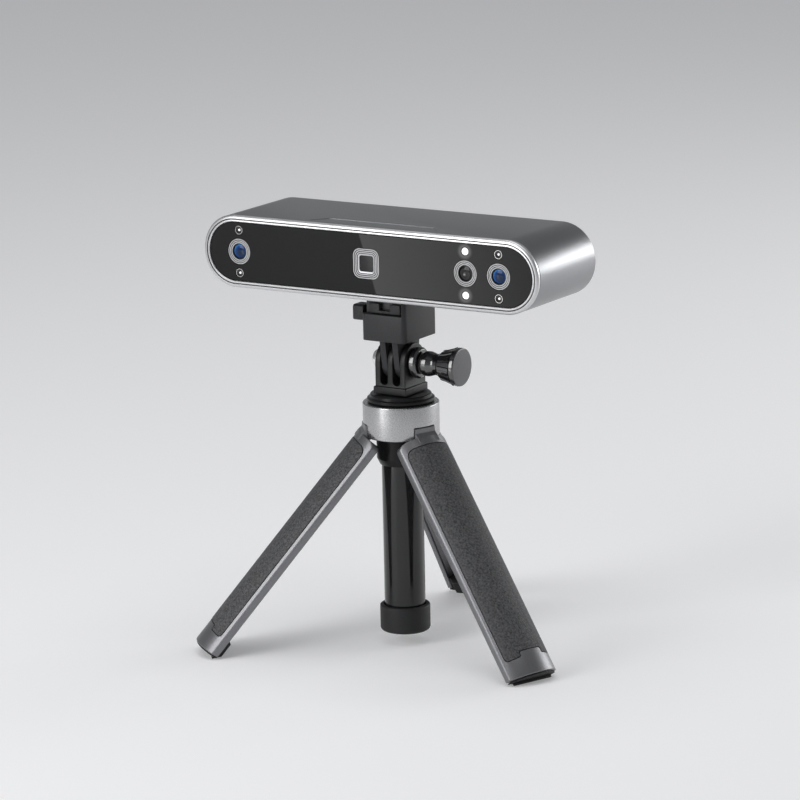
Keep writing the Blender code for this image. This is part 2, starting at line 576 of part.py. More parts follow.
def build_adapter():
    """Threaded insert, sliding shoe, its screw, the release buckle, its latch and its button."""
    inner_floor = UNDERSIDE + HOUSING_WALL + GAP
    insert_bottom = UNDERSIDE + GAP
    bore = THREAD_RADIUS + GAP
    insert = [(INSERT_RADIUS, insert_bottom), (INSERT_RADIUS, inner_floor), (INSERT_FLANGE_RADIUS, inner_floor),
              (INSERT_FLANGE_RADIUS, inner_floor + INSERT_FLANGE_THICKNESS),
              (INSERT_RADIUS, inner_floor + INSERT_FLANGE_THICKNESS),
              (INSERT_RADIUS, insert_bottom + INSERT_HEIGHT), (bore, insert_bottom + INSERT_HEIGHT),
              (bore, insert_bottom)]
    piece("tripod_insert", turned(insert, (0, 0, 0), hollow=True), BRASS)

    channel_end = BUCKLE_WIDTH / 2 - BUCKLE_SIDE
    shoe = block((SHOE_LEFT, SHOE_FRONT_Y, SHOE_BOTTOM), (channel_end - GAP, SHOE_REAR_Y, SHOE_TOP))
    shoe = piece("mount_shoe", shoe, BLACK_PLASTIC)
    carve(shoe, rod(THREAD_RADIUS + GAP, (0, 0, SHOE_BOTTOM - GAP), 2 * SHOE_HEIGHT))
    carve(shoe, rod(SCREW_SEAT_RADIUS, (0, 0, SHOE_BOTTOM - SCREW_SEAT_DEPTH), 2 * SCREW_SEAT_DEPTH))

    seat_z = SHOE_BOTTOM + SCREW_SEAT_DEPTH - GAP
    head_radius = SCREW_SEAT_RADIUS - GAP
    screw_top = insert_bottom + INSERT_HEIGHT - GAP
    screw = [(head_radius, seat_z - SHOE_SCREW_HEAD_HEIGHT), (head_radius, seat_z), (THREAD_RADIUS, seat_z),
             (THREAD_RADIUS, screw_top)]
    piece("shoe_screw", turned(screw, (0, 0, 0)), CHROME)

    half = BUCKLE_WIDTH / 2
    base_top = BUCKLE_BOTTOM + BUCKLE_BASE
    wall_top = UNDERSIDE - BUCKLE_FRONT_DROP
    buckle = loft([rounded_plan(half, BUCKLE_FRONT_Y, BUCKLE_REAR_Y, BUCKLE_CORNER, z)
                   for z in (BUCKLE_BOTTOM, UNDERSIDE - GAP)])
    buckle = piece("release_buckle", buckle, BLACK_PLASTIC)
    channel_front = SHOE_FRONT_Y - GAP
    channel_rear = SHOE_REAR_Y + GAP
    carve(buckle, block((-2 * half, channel_front, base_top), (channel_end, channel_rear, UNDERSIDE + GAP)))
    carve(buckle, block((-2 * half, 2 * BUCKLE_FRONT_Y, wall_top), (channel_end, channel_rear, UNDERSIDE + GAP)))
    for side in (-1, 1):
        add_upper_prong(buckle, side * (PRONG + SLOT) / 2)

    clip_front = BUCKLE_FRONT_Y + LATCH_THICKNESS
    clip_rear = SHOE_FRONT_Y - GAP
    clip_foot = wall_top + GAP
    strip = 1.5 * LATCH_TAB_WIDTH
    clip = block((-strip, clip_front, clip_foot), (strip, clip_rear, clip_foot + LATCH_STRIP))
    clip = piece("latch_clip", clip, BLACK_PLASTIC)
    for side in (-1, 1):
        near, far = sorted((side * strip, side * (strip - LATCH_TAB_WIDTH)))
        carve(clip, block((near, clip_front, clip_foot), (far, clip_rear, clip_foot + LATCH_HEIGHT)), "UNION")

    head_inner = -half - RELEASE_GAP
    button_top = UNDERSIDE - RELEASE_DROP
    button_low = button_top - RELEASE_HEIGHT
    slide = pivot("release_slide", (head_inner, RELEASE_Y, button_low))
    depth = RELEASE_DEPTH / 2
    button = loft([rounded_square(RELEASE_DEPTH, RELEASE_HEIGHT, RELEASE_HEIGHT / 6, 0, RELEASE_HEIGHT / 2, y)
                   for y in (0, RELEASE_LENGTH)])
    button.transform(Matrix.Rotation(math.radians(90), 4, "Z"))
    button = piece("release_button", button, BLACK_PLASTIC, slide)
    stem_low = base_top + GAP - button_low
    stem_high = stem_low + RELEASE_STEM_HEIGHT
    sunk = -RELEASE_LENGTH / 2
    stem = block((sunk, -depth * 0.7, stem_low), (RELEASE_GAP + RELEASE_STEM_LENGTH, depth * 0.7, stem_high))
    carve(button, stem, "UNION")


def prong_outline(radius, root_half, root_height, x):
    """A rounded prong in the YZ plane: a round end about the tilt axis and a straight root."""
    loop = []
    turn = 1 if root_height < 0 else -1
    for i in range(ARC_STEPS + 1):
        angle = math.pi * i / ARC_STEPS
        loop.append((x, radius * math.cos(angle), TILT_Z + turn * radius * math.sin(angle)))
    loop.append((x, -root_half, TILT_Z + root_height))
    loop.append((x, root_half, TILT_Z + root_height))
    return loop


def add_upper_prong(buckle, x):
    """Joins one prong with its bolt hole to the underside of the buckle."""
    root_height = BUCKLE_BOTTOM + BUCKLE_BASE / 2 - TILT_Z
    half = UPPER_PRONG / 2
    sides = [prong_outline(UPPER_PRONG_RADIUS, UPPER_PRONG_ROOT, root_height, x + offset)
             for offset in (-half, half)]
    carve(buckle, loft(sides), "UNION")
    hole = rod(BOLT_RADIUS + RUNNING_GAP, (x - 2 * half, 0, TILT_Z), 4 * half, TO_RIGHT)
    carve(buckle, hole)


def build_tilt():
    """Three-pronged fork on the rod head, its cap nut, washer and thumbscrew."""
    half = FORK_WIDTH / 2
    fork = loft([prong_outline(PRONG_RADIUS, PRONG_RADIUS, FORK_BOTTOM - TILT_Z, x) for x in (-half, half)])
    fork = piece("tilt_fork", fork, BLACK_PLASTIC)
    flange = half + FORK_FLANGE_STEP
    flange_depth = PRONG_RADIUS + FORK_FLANGE_STEP
    carve(fork, block((-flange, -flange_depth, FORK_BOTTOM), (flange, flange_depth, FORK_BOTTOM + FORK_FLANGE)),
          "UNION")
    reach = 2 * PRONG_RADIUS
    for side in (-1, 1):
        middle = side * (PRONG + SLOT) / 2
        low = TILT_Z - SLOT_DROP + SLOT / 2
        slot = block((middle - SLOT / 2, -reach, low), (middle + SLOT / 2, reach, TILT_Z + reach))
        carve(fork, slot)
        carve(fork, rod(SLOT / 2, (middle, -reach, low), 2 * reach, TO_REAR, 24))
    bolt_hole = BOLT_RADIUS + RUNNING_GAP
    carve(fork, rod(bolt_hole, (-reach, 0, TILT_Z), 2 * reach, TO_RIGHT))
    carve(fork, rod(THREAD_RADIUS + GAP, (0, 0, FORK_BOTTOM - FORK_FLANGE), 2 * FORK_FLANGE))

    nut_wall = -half - GAP
    nut = [(NUT_RADIUS, 0), (NUT_RADIUS, NUT_LENGTH * 0.5), (NUT_RADIUS * 0.85, NUT_LENGTH * 0.8),
           (NUT_RADIUS * 0.45, NUT_LENGTH), (bolt_hole * 0.4, NUT_LENGTH), (bolt_hole * 0.4, NUT_LENGTH * 0.8),
           (bolt_hole, NUT_LENGTH * 0.7), (bolt_hole, 0)]
    piece("cap_nut", turned(nut, (nut_wall, 0, TILT_Z), TO_LEFT, hollow=True), CHROME)

    washer_pivot = pivot("clamp_slide", (half + GAP, 0, TILT_Z))
    washer = [(WASHER_RADIUS, 0), (WASHER_RADIUS, WASHER_LENGTH * 0.8), (WASHER_RADIUS * 0.9, WASHER_LENGTH),
              (bolt_hole, WASHER_LENGTH), (bolt_hole, 0)]
    piece("clamp_washer", turned(washer, (0, 0, 0), TO_RIGHT, hollow=True), BLACK_PLASTIC, washer_pivot)

    start = WASHER_LENGTH + GAP
    knob_pivot = pivot("thumbscrew_turn", (half + GAP, 0, TILT_Z))
    bolt_tip = -FORK_WIDTH - GAP - NUT_LENGTH * 0.55
    neck = KNOB_NECK_RADIUS
    end = KNOB_END_RADIUS
    length = KNOB_LENGTH
    knob = [(BOLT_RADIUS, bolt_tip), (BOLT_RADIUS, start), (neck * 0.95, start), (neck * 1.08, start + length * 0.10),
            (neck * 1.08, start + length * 0.20), (neck * 0.92, start + length * 0.36),
            (neck * 1.02, start + length * 0.46), (end * 0.76, start + length * 0.54),
            (end * 0.82, start + length * 0.66), (end * 0.94, start + length * 0.82),
            (end, start + length * 0.90), (end, start + length * 0.97), (end * 0.96, start + length)]
    piece("thumbscrew", turned(knob, (0, 0, 0), TO_RIGHT, 24), BLACK_PLASTIC, knob_pivot)


def build_column():
    """Rod head, nested rods, collar, neck bush, tube and column foot."""
    spigot = UPPER_ROD_BORE - RUNNING_GAP
    bore = THREAD_RADIUS + GAP
    ledge = ROD_HEAD_RADIUS - ROD_HEAD_CHAMFER
    head = [(spigot, ROD_HEAD_BOTTOM - SPIGOT_LENGTH), (spigot, ROD_HEAD_BOTTOM),
            (ROD_HEAD_RADIUS, ROD_HEAD_BOTTOM), (ROD_HEAD_RADIUS, ROD_HEAD_TOP - ROD_HEAD_CHAMFER),
            (ledge, ROD_HEAD_TOP), (bore, ROD_HEAD_TOP), (bore, ROD_HEAD_BOTTOM - SPIGOT_LENGTH)]
    piece("rod_head", turned(head, (0, 0, 0), sides=ROUND_SIDES, hollow=True), BLACK_PLASTIC)

    stud_top = FORK_BOTTOM + FORK_FLANGE - GAP
    stud = rod(THREAD_RADIUS, (0, 0, ROD_HEAD_BOTTOM - SPIGOT_LENGTH), stud_top - ROD_HEAD_BOTTOM + SPIGOT_LENGTH)
    piece("quarter_inch_stud", stud, CHROME)

    for name, outer, inner in (("upper_rod", UPPER_ROD_RADIUS, UPPER_ROD_BORE),
                               ("lower_rod", LOWER_ROD_RADIUS, LOWER_ROD_BORE)):
        tube = [(outer, ROD_BOTTOM), (outer, ROD_TOP), (inner, ROD_TOP), (inner, ROD_BOTTOM)]
        piece(name, turned(tube, (0, 0, 0), sides=ROUND_SIDES, hollow=True), GLOSS_BLACK)

    collar_bore = TUBE_RADIUS + GAP
    outer = COLLAR_RADIUS
    edge = outer - COLLAR_BEVEL
    collar = [(edge, COLLAR_BOTTOM), (outer, COLLAR_BOTTOM + COLLAR_BEVEL), (outer, COLLAR_TOP - COLLAR_BEVEL),
              (edge, COLLAR_TOP), (collar_bore, COLLAR_TOP), (collar_bore, COLLAR_BOTTOM)]
    collar = piece("collar", turned(collar, (0, 0, 0), sides=48, hollow=True), ALUMINIUM)
    for name, azimuth in LEG_AZIMUTHS.items():
        to_leg = Matrix.Rotation(math.radians(azimuth - 90), 4, "Z")
        slot_half = KNUCKLE_WIDTH / 2 + RUNNING_GAP
        slot_floor = HINGE_RADIUS - KNUCKLE_RADIUS - RUNNING_GAP
        slot_top = HINGE_Z + KNUCKLE_RADIUS + RUNNING_GAP
        slot = block((-slot_half, slot_floor, COLLAR_BOTTOM - COLLAR_HEIGHT), (slot_half, 2 * outer, slot_top))
        slot.transform(to_leg)
        carve(collar, slot)
        hole = rod(PIN_RADIUS + GAP, (-outer, HINGE_RADIUS, HINGE_Z), 2 * outer, TO_RIGHT, 16)
        hole.transform(to_leg)
        carve(collar, hole)
        pin = rod(PIN_RADIUS, (-PIN_LENGTH / 2, HINGE_RADIUS, HINGE_Z), PIN_LENGTH, TO_RIGHT, 16)
        pin.transform(to_leg)
        piece("hinge_pin_" + name, pin, CHROME)

    neck_bore = TUBE_RADIUS + GAP
    neck_top = COLLAR_BOTTOM - GAP
    neck = [(neck_bore, neck_top - NECK_HEIGHT), (neck_bore + GAP, neck_top - NECK_HEIGHT),
            (NECK_RADIUS, neck_top - NECK_HEIGHT + NECK_TAPER), (NECK_RADIUS, neck_top), (neck_bore, neck_top)]
    piece("neck_bush", turned(neck, (0, 0, 0), sides=ROUND_SIDES, hollow=True), BLACK_PLASTIC)

    tube_bottom = COLUMN_BOTTOM + COLUMN_FOOT_FLOOR + GAP
    tube = [(TUBE_RADIUS, tube_bottom), (TUBE_RADIUS, ROD_TOP), (TUBE_BORE, ROD_TOP), (TUBE_BORE, tube_bottom)]
    piece("column_tube", turned(tube, (0, 0, 0), sides=ROUND_SIDES, hollow=True), GLOSS_BLACK)

    foot_top = COLUMN_BOTTOM + COLUMN_FOOT_HEIGHT
    foot_bore = TUBE_RADIUS + GAP
    floor_top = COLUMN_BOTTOM + COLUMN_FOOT_FLOOR
    cap = [(COLUMN_FOOT_RADIUS - COLUMN_FOOT_ROUND, COLUMN_BOTTOM)]
    for step in range(1, 4):
        angle = math.pi / 2 * step / 3
        cap.append((COLUMN_FOOT_RADIUS - COLUMN_FOOT_ROUND * (1 - math.sin(angle)),
                    COLUMN_BOTTOM + COLUMN_FOOT_ROUND * (1 - math.cos(angle))))
    cap += [(COLUMN_FOOT_RADIUS, foot_top), (foot_bore, foot_top), (foot_bore, floor_top),
            (foot_bore / 2, floor_top)]
    piece("column_foot", turned(cap, (0, 0, 0), sides=ROUND_SIDES), FOOT_RUBBER)


def arc_points(radius, half_width, steps):
    """Points across a leg on a circle about the folded leg's axis, from left to right."""
    limit = math.asin(half_width / radius)
    points = []
    for i in range(steps + 1):
        angle = -limit + 2 * limit * i / steps
        points.append((radius * math.sin(angle), radius * math.cos(angle) - HINGE_RADIUS))
    return points


def leg_section(z, slope=0):
    """Cross-section of a leg: a curved skin with two side walls, open towards the column."""
    outer = arc_points(COLLAR_RADIUS, LEG_HALF_WIDTH, ARC_STEPS)
    inner_half = LEG_HALF_WIDTH - LEG_WALL
    inner = arc_points(COLLAR_RADIUS - LEG_SKIN, inner_half, ARC_STEPS)
    edge = EDGE_OFFSET
    loop = outer + [(LEG_HALF_WIDTH, edge), (inner_half, edge)]
    loop += inner[::-1] + [(-inner_half, edge), (-LEG_HALF_WIDTH, edge)]
    return [(x, y, z - slope * (y - edge)) for x, y in loop]


def pad_band(inner, outer, half_width, top, bottom):
    """A curved plate on the leg's outer face."""
    near = arc_points(inner, half_width, ARC_STEPS)
    far = arc_points(outer, half_width, ARC_STEPS)
    loop = far + near[::-1]
    return loft([[(x, y, z) for x, y in loop] for z in (-bottom, -top)])


def floor_drop(offset):
    """Distance down a standing leg, from its hinge, at which an offset line meets the floor."""
    return (HINGE_Z + offset * math.sin(SPREAD)) / math.cos(SPREAD)


def build_leg(name, azimuth):
    """One leg: shell with its hinge knuckle, grip pad and rubber foot, about its hinge pin."""
    angle = math.radians(azimuth)
    place = (HINGE_RADIUS * math.cos(angle), HINGE_RADIUS * math.sin(angle), HINGE_Z)
    hinge = pivot(name + "_leg_hinge", place, (SPREAD, 0, angle - math.pi / 2))
    channel = loft([leg_section(-LEG_LENGTH, END_SLOPE), leg_section(-LEG_TOP)])
    shell = piece(name + "_leg_shell", channel, LEG_GREY, hinge)

    knuckle_half = KNUCKLE_WIDTH / 2
    skin_inner = COLLAR_RADIUS - LEG_SKIN - HINGE_RADIUS
    side_profile = []
    for i in range(9):
        turn = math.pi * i / 8
        side_profile.append((KNUCKLE_RADIUS * math.cos(turn), KNUCKLE_RADIUS * math.sin(turn)))
    neck_clear = NECK_RADIUS + RUNNING_GAP - HINGE_RADIUS
    side_profile += [(-KNUCKLE_RADIUS, -KNUCKLE_RADIUS * 0.3), (neck_clear, -HINGE_RISE),
                     (skin_inner, -KNUCKLE_WEB), (skin_inner + LEG_SKIN / 2, -KNUCKLE_WEB),
                     (KNUCKLE_RADIUS, -LEG_TOP - LEG_SKIN)]
    knuckle = loft([[(x, y, z) for y, z in side_profile] for x in (-knuckle_half, knuckle_half)])
    carve(shell, knuckle, "UNION")
    carve(shell, rod(PIN_RADIUS + GAP, (-KNUCKLE_WIDTH, 0, 0), 2 * KNUCKLE_WIDTH, TO_RIGHT, 16))

    pad_outer = COLLAR_RADIUS + PAD_PROUD
    pad_inner = pad_outer - PAD_THICKNESS
    pad_half = LEG_HALF_WIDTH - PAD_BORDER
    pad_bottom = PAD_TOP + PAD_LENGTH
    recess = pad_band(pad_inner - GAP, COLLAR_RADIUS + PAD_THICKNESS, pad_half + GAP, PAD_TOP - GAP,
                      pad_bottom + GAP)
    carve(shell, recess)
    piece(name + "_leg_pad", pad_band(pad_inner, pad_outer, pad_half, PAD_TOP, pad_bottom), PAD_BLACK, hinge)

    foot_half = LEG_HALF_WIDTH - LEG_WALL - GAP
    inner = EDGE_OFFSET - FOOT_INWARD
    outer = math.sqrt((COLLAR_RADIUS - LEG_SKIN) ** 2 - foot_half ** 2) - HINGE_RADIUS - GAP
    heel = EDGE_OFFSET + FOOT_SOLE
    top = LEG_LENGTH - FOOT_HEIGHT
    nose = LEG_LENGTH + END_SLOPE * (outer - EDGE_OFFSET) + FOOT_NOSE
    profile = [(inner, -top), (outer, -top), (outer, -nose), (heel, -floor_drop(heel)), (inner, -floor_drop(inner))]
    foot = loft([[(x, y, z) for y, z in profile] for x in (-foot_half, foot_half)])
    piece(name + "_leg_foot", foot, FOOT_RUBBER, hinge, smooth=False)


def centre_footprint():
    """Shifts the model so that the origin is the centre of its footprint, at floor level."""
    bpy.context.view_layer.update()
    points = [item.matrix_world @ vertex.co
              for item in bpy.data.objects if item.type == "MESH" for vertex in item.data.vertices]
    low = [min(point[axis] for point in points) for axis in range(3)]
    high = [max(point[axis] for point in points) for axis in range(3)]
    root.location = (-(low[0] + high[0]) / 2, -(low[1] + high[1]) / 2, -low[2])
    bpy.context.view_layer.update()


build_shell()
build_chassis()
build_cameras()
build_electronics()
build_adapter()
build_tilt()
build_column()
for leg_name, leg_azimuth in LEG_AZIMUTHS.items():
    build_leg(leg_name, leg_azimuth)
centre_footprint()
print("column axis at", [round(value, 6) for value in root.location])
print("hinge height", round(HINGE_Z, 6), "tilt height", round(TILT_Z, 6), "head height", round(HEAD_Z, 6))
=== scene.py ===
"""Looks of the hand scanner on its folding table tripod, in metres, as it is put together."""
import json
import math

import bmesh
import bpy
from mathutils import Matrix, Vector

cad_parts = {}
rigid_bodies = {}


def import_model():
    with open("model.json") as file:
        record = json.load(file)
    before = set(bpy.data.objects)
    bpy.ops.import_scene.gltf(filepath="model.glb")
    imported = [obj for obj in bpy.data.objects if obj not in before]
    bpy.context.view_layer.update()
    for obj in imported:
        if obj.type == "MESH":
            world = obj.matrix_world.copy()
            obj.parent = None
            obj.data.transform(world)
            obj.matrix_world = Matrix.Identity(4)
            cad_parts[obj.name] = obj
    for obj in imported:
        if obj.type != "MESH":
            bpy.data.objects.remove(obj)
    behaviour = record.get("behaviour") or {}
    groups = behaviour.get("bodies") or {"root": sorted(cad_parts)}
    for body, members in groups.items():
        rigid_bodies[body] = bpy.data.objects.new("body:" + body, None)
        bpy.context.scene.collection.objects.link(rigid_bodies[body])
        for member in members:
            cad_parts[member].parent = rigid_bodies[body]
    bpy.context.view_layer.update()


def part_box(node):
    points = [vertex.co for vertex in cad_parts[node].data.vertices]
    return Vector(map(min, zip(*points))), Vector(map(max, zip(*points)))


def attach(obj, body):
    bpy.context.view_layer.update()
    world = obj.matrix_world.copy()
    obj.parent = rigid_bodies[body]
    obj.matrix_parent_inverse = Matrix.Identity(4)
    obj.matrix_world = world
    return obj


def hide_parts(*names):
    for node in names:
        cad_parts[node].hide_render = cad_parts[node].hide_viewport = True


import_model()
scene = bpy.context.scene
scene.view_settings.view_transform = "Standard"

# Studio: a pale painted floor in a grey room, with large cloth-covered soft boxes round it. A key box
# stands front left, a strip back right gives the bright band on the scanner's end, one box hangs above,
# and a small box close by on the left gives the sloping glare line on the front glass.
FLOOR_RADIUS = 6.0
FLOOR_COLOR = (0.82, 0.82, 0.83, 1)
FLOOR_ROUGHNESS = 0.6
FLOOR_LIFT = 0.24               # added for the eye and in metal and glass; matt pieces get no light from it
HORIZON_GREY = (0.42, 0.43, 0.44, 1)
HORIZON_END = 0.02
ZENITH_GREY = (0.17, 0.175, 0.18, 1)
ZENITH_START = 0.55
KEY_PLACE = Vector((-0.46, -1.11, 0.55))
STRIP_PLACE = Vector((0.68, 1.08, 0.33))
TOP_PLACE = Vector((0.0, -0.1, 1.5))
GLARE_PLACE = Vector((-0.1325, -0.44, 0.05))
GLARE_LEAN = math.radians(19)
GLARE_FADE = 0.4                # share of the glare box's width over which it dims
GLARE_BRIGHT = 1.25
GLARE_DIM = 0.10


def box_of(node):
    """The low and high corners of a CAD piece's box."""
    return [Vector(corner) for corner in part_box(node)]


def centre(node):
    """The middle of a CAD piece's box."""
    low, high = box_of(node)
    return (low + high) / 2


axis = centre("column_tube")
head = Vector((axis.x, axis.y, centre("head_housing").z))


def soft_box(name, place, width, height, power):
    """A rectangular area light that faces the scanner."""
    lamp = bpy.data.lights.new(name, "AREA")
    lamp.shape = "RECTANGLE"
    lamp.size = width
    lamp.size_y = height
    lamp.energy = power
    item = bpy.data.objects.new(name, lamp)
    facing = (head - place).to_track_quat("-Z", "Y")
    item.matrix_world = Matrix.Translation(place) @ facing.to_matrix().to_4x4()
    scene.collection.objects.link(item)
    return item


def wire(tree, *pairs):
    """Joins outputs to inputs in a node tree, pair by pair."""
    for output, socket in pairs:
        tree.links.new(output, socket)


soft_box("key_box", KEY_PLACE, width=0.56, height=0.80, power=7.2)
soft_box("strip_box", STRIP_PLACE, width=0.90, height=0.34, power=5.4)
soft_box("top_box", TOP_PLACE, width=1.3, height=1.3, power=9.0)
glare = soft_box("glare_box", GLARE_PLACE, width=0.20, height=0.18, power=0.24)
glare.matrix_world = glare.matrix_world @ Matrix.Rotation(GLARE_LEAN, 4, "Z")
glare.data.use_nodes = True
glare_tree = glare.data.node_tree
glare_spot = glare_tree.nodes.new("ShaderNodeNewGeometry")
glare_across = glare_tree.nodes.new("ShaderNodeSeparateXYZ")
glare_fade = glare_tree.nodes.new("ShaderNodeMapRange")
glare_fade.inputs["From Max"].default_value = GLARE_FADE
glare_fade.inputs["To Min"].default_value = GLARE_BRIGHT
glare_fade.inputs["To Max"].default_value = GLARE_DIM
wire(glare_tree, (glare_spot.outputs["Parametric"], glare_across.inputs["Vector"]),
     (glare_across.outputs["X"], glare_fade.inputs["Value"]),
     (glare_fade.outputs["Result"], glare_tree.nodes["Emission"].inputs["Strength"]))

room = bpy.data.worlds.new("grey_room")
scene.world = room
room.use_nodes = True
room_tree = room.node_tree
room_spot = room_tree.nodes.new("ShaderNodeTexCoord")
room_height = room_tree.nodes.new("ShaderNodeSeparateXYZ")
room_shade = room_tree.nodes.new("ShaderNodeValToRGB")
room_shade.color_ramp.elements[0].position = HORIZON_END
room_shade.color_ramp.elements[0].color = HORIZON_GREY
room_shade.color_ramp.elements[1].position = ZENITH_START
room_shade.color_ramp.elements[1].color = ZENITH_GREY
wire(room_tree, (room_spot.outputs["Generated"], room_height.inputs["Vector"]),
     (room_height.outputs["Z"], room_shade.inputs["Fac"]),
     (room_shade.outputs["Color"], room_tree.nodes["Background"].inputs["Color"]))

floor_shape = bmesh.new()
bmesh.ops.create_circle(floor_shape, cap_ends=True, segments=96, radius=FLOOR_RADIUS)
floor_mesh = bpy.data.meshes.new("floor")
floor_shape.to_mesh(floor_mesh)
floor_shape.free()
floor = bpy.data.objects.new("floor", floor_mesh)
scene.collection.objects.link(floor)
floor_paint = bpy.data.materials.new("floor_paint")
floor_paint.use_nodes = True
floor_tree = floor_paint.node_tree
floor_shader = floor_tree.nodes["Principled BSDF"]
floor_shader.inputs["Base Color"].default_value = FLOOR_COLOR
floor_shader.inputs["Roughness"].default_value = FLOOR_ROUGHNESS
floor_ray = floor_tree.nodes.new("ShaderNodeLightPath")
floor_lift = floor_tree.nodes.new("ShaderNodeEmission")
floor_lift.inputs["Color"].default_value = FLOOR_COLOR
floor_lift.inputs["Strength"].default_value = FLOOR_LIFT
floor_shown = floor_tree.nodes.new("ShaderNodeAddShader")
floor_pick = floor_tree.nodes.new("ShaderNodeMixShader")
seen_or_mirrored = floor_tree.nodes.new("ShaderNodeMath")
seen_or_mirrored.operation = "ADD"
seen_at_all = floor_tree.nodes.new("ShaderNodeMath")
seen_at_all.operation = "ADD"
seen_at_all.use_clamp = True
wire(floor_tree, (floor_ray.outputs["Is Camera Ray"], seen_or_mirrored.inputs[0]),
     (floor_ray.outputs["Is Glossy Ray"], seen_or_mirrored.inputs[1]),
     (seen_or_mirrored.outputs["Value"], seen_at_all.inputs[0]),
     (floor_ray.outputs["Is Transmission Ray"], seen_at_all.inputs[1]),
     (floor_shader.outputs["BSDF"], floor_shown.inputs[0]),
     (floor_lift.outputs["Emission"], floor_shown.inputs[1]),
     (seen_at_all.outputs["Value"], floor_pick.inputs["Fac"]),
     (floor_shader.outputs["BSDF"], floor_pick.inputs[1]),
     (floor_shown.outputs["Shader"], floor_pick.inputs[2]),
     (floor_pick.outputs["Shader"], floor_tree.nodes["Material Output"].inputs["Surface"]))
floor_mesh.materials.append(floor_paint)

# Camera: a long lens from the front right, a little above the scanner, at the photo's angle.
# Its angles and distance come from a fit to the scanner's outline and to its lens centres.
CAMERA_AZIMUTH = math.radians(32.005)
CAMERA_HEIGHT_ANGLE = math.radians(12.656)
CAMERA_ROLL = math.radians(-1.208)
CAMERA_DISTANCE = 1.78993
CAMERA_LENS = 205.46
AIM_RIGHT = 0.000850
AIM_DOWN = 0.057047
back = Vector((math.sin(CAMERA_AZIMUTH) * math.cos(CAMERA_HEIGHT_ANGLE),
               -math.cos(CAMERA_AZIMUTH) * math.cos(CAMERA_HEIGHT_ANGLE), math.sin(CAMERA_HEIGHT_ANGLE)))
level = Vector((math.cos(CAMERA_AZIMUTH), math.sin(CAMERA_AZIMUTH), 0))
upward = back.cross(level)
right = math.cos(CAMERA_ROLL) * level + math.sin(CAMERA_ROLL) * upward
up = math.cos(CAMERA_ROLL) * upward - math.sin(CAMERA_ROLL) * level
eye = bpy.data.cameras.new("photo_camera")
eye.lens = CAMERA_LENS
eye.sensor_width = 36
camera = bpy.data.objects.new("photo_camera", eye)
camera_place = head + AIM_RIGHT * right - AIM_DOWN * up + CAMERA_DISTANCE * back
camera.matrix_world = Matrix.Translation(camera_place) @ Matrix((right, up, back)).transposed().to_4x4()
scene.collection.objects.link(camera)
scene.camera = camera

# Housing: one length of extruded aluminium with a stadium section, bead blasted and anodised grey.
# Its cut ends are eased, and a shallow plain panel is pressed into its top.
head_low, head_high = box_of("head_housing")
HEAD_WIDTH = head_high.x - head_low.x
HEAD_HEIGHT = head_high.z - head_low.z
FRONT_Y = box_of("front_rim")[0].y
REAR_Y = head_high.y
HOUSING_WALL = 0.0018
HOUSING_EASE = 0.0003
REAR_EASE = 0.0007
END_STEPS = 48
RUN_END = 0.0005                # keeps the straight runs flat up to the round ends
INSERT_HOLE_RADIUS = 0.0045
PANEL_DEPTH = 0.00012
PANEL_FRONT = 0.0040            # front edge of the pressed panel, behind the scanner's front
PANEL_LENGTH = 0.0070
PANEL_HALF_FRONT = 0.0300
PANEL_HALF_REAR = 0.0240
PANEL_CORNER = 0.0006
SHARP_ANGLE = math.radians(32)   # edges sharper than this stay crisp


def surface(name, color, roughness, metallic=0.0, grain=1200.0, mottle=0.06, bump=0.0, bump_scale=5000.0,
            ior=1.5):
    """A finish with a fine uneven grain in its colour and gloss, and in its height where bump is set."""
    look = bpy.data.materials.new(name)
    look.use_nodes = True
    tree = look.node_tree
    shader = tree.nodes["Principled BSDF"]
    shader.inputs["Metallic"].default_value = metallic
    shader.inputs["IOR"].default_value = ior
    spot = tree.nodes.new("ShaderNodeTexCoord")
    grains = tree.nodes.new("ShaderNodeTexNoise")
    grains.inputs["Scale"].default_value = grain
    grains.inputs["Detail"].default_value = 3.0
    tint = tree.nodes.new("ShaderNodeValToRGB")
    for stop, position, share in zip(tint.color_ramp.elements, (0.3, 0.7), (1 - mottle, 1 + mottle)):
        stop.position = position
        stop.color = (*[min(1.0, value * share) for value in color], 1)
    gloss = tree.nodes.new("ShaderNodeMapRange")
    gloss.inputs["To Min"].default_value = roughness * 0.88
    gloss.inputs["To Max"].default_value = min(1.0, roughness * 1.12)
    wire(tree, (spot.outputs["Object"], grains.inputs["Vector"]), (grains.outputs["Fac"], tint.inputs["Fac"]),
         (tint.outputs["Color"], shader.inputs["Base Color"]), (grains.outputs["Fac"], gloss.inputs["Value"]),
         (gloss.outputs["Result"], shader.inputs["Roughness"]))
    if bump:
        pits = tree.nodes.new("ShaderNodeTexNoise")
        pits.inputs["Scale"].default_value = bump_scale
        pits.inputs["Detail"].default_value = 2.0
        relief = tree.nodes.new("ShaderNodeBump")
        relief.inputs["Strength"].default_value = bump
        relief.inputs["Distance"].default_value = 0.0002
        wire(tree, (spot.outputs["Object"], pits.inputs["Vector"]),
             (pits.outputs["Fac"], relief.inputs["Height"]),
             (relief.outputs["Normal"], shader.inputs["Normal"]))
    return look


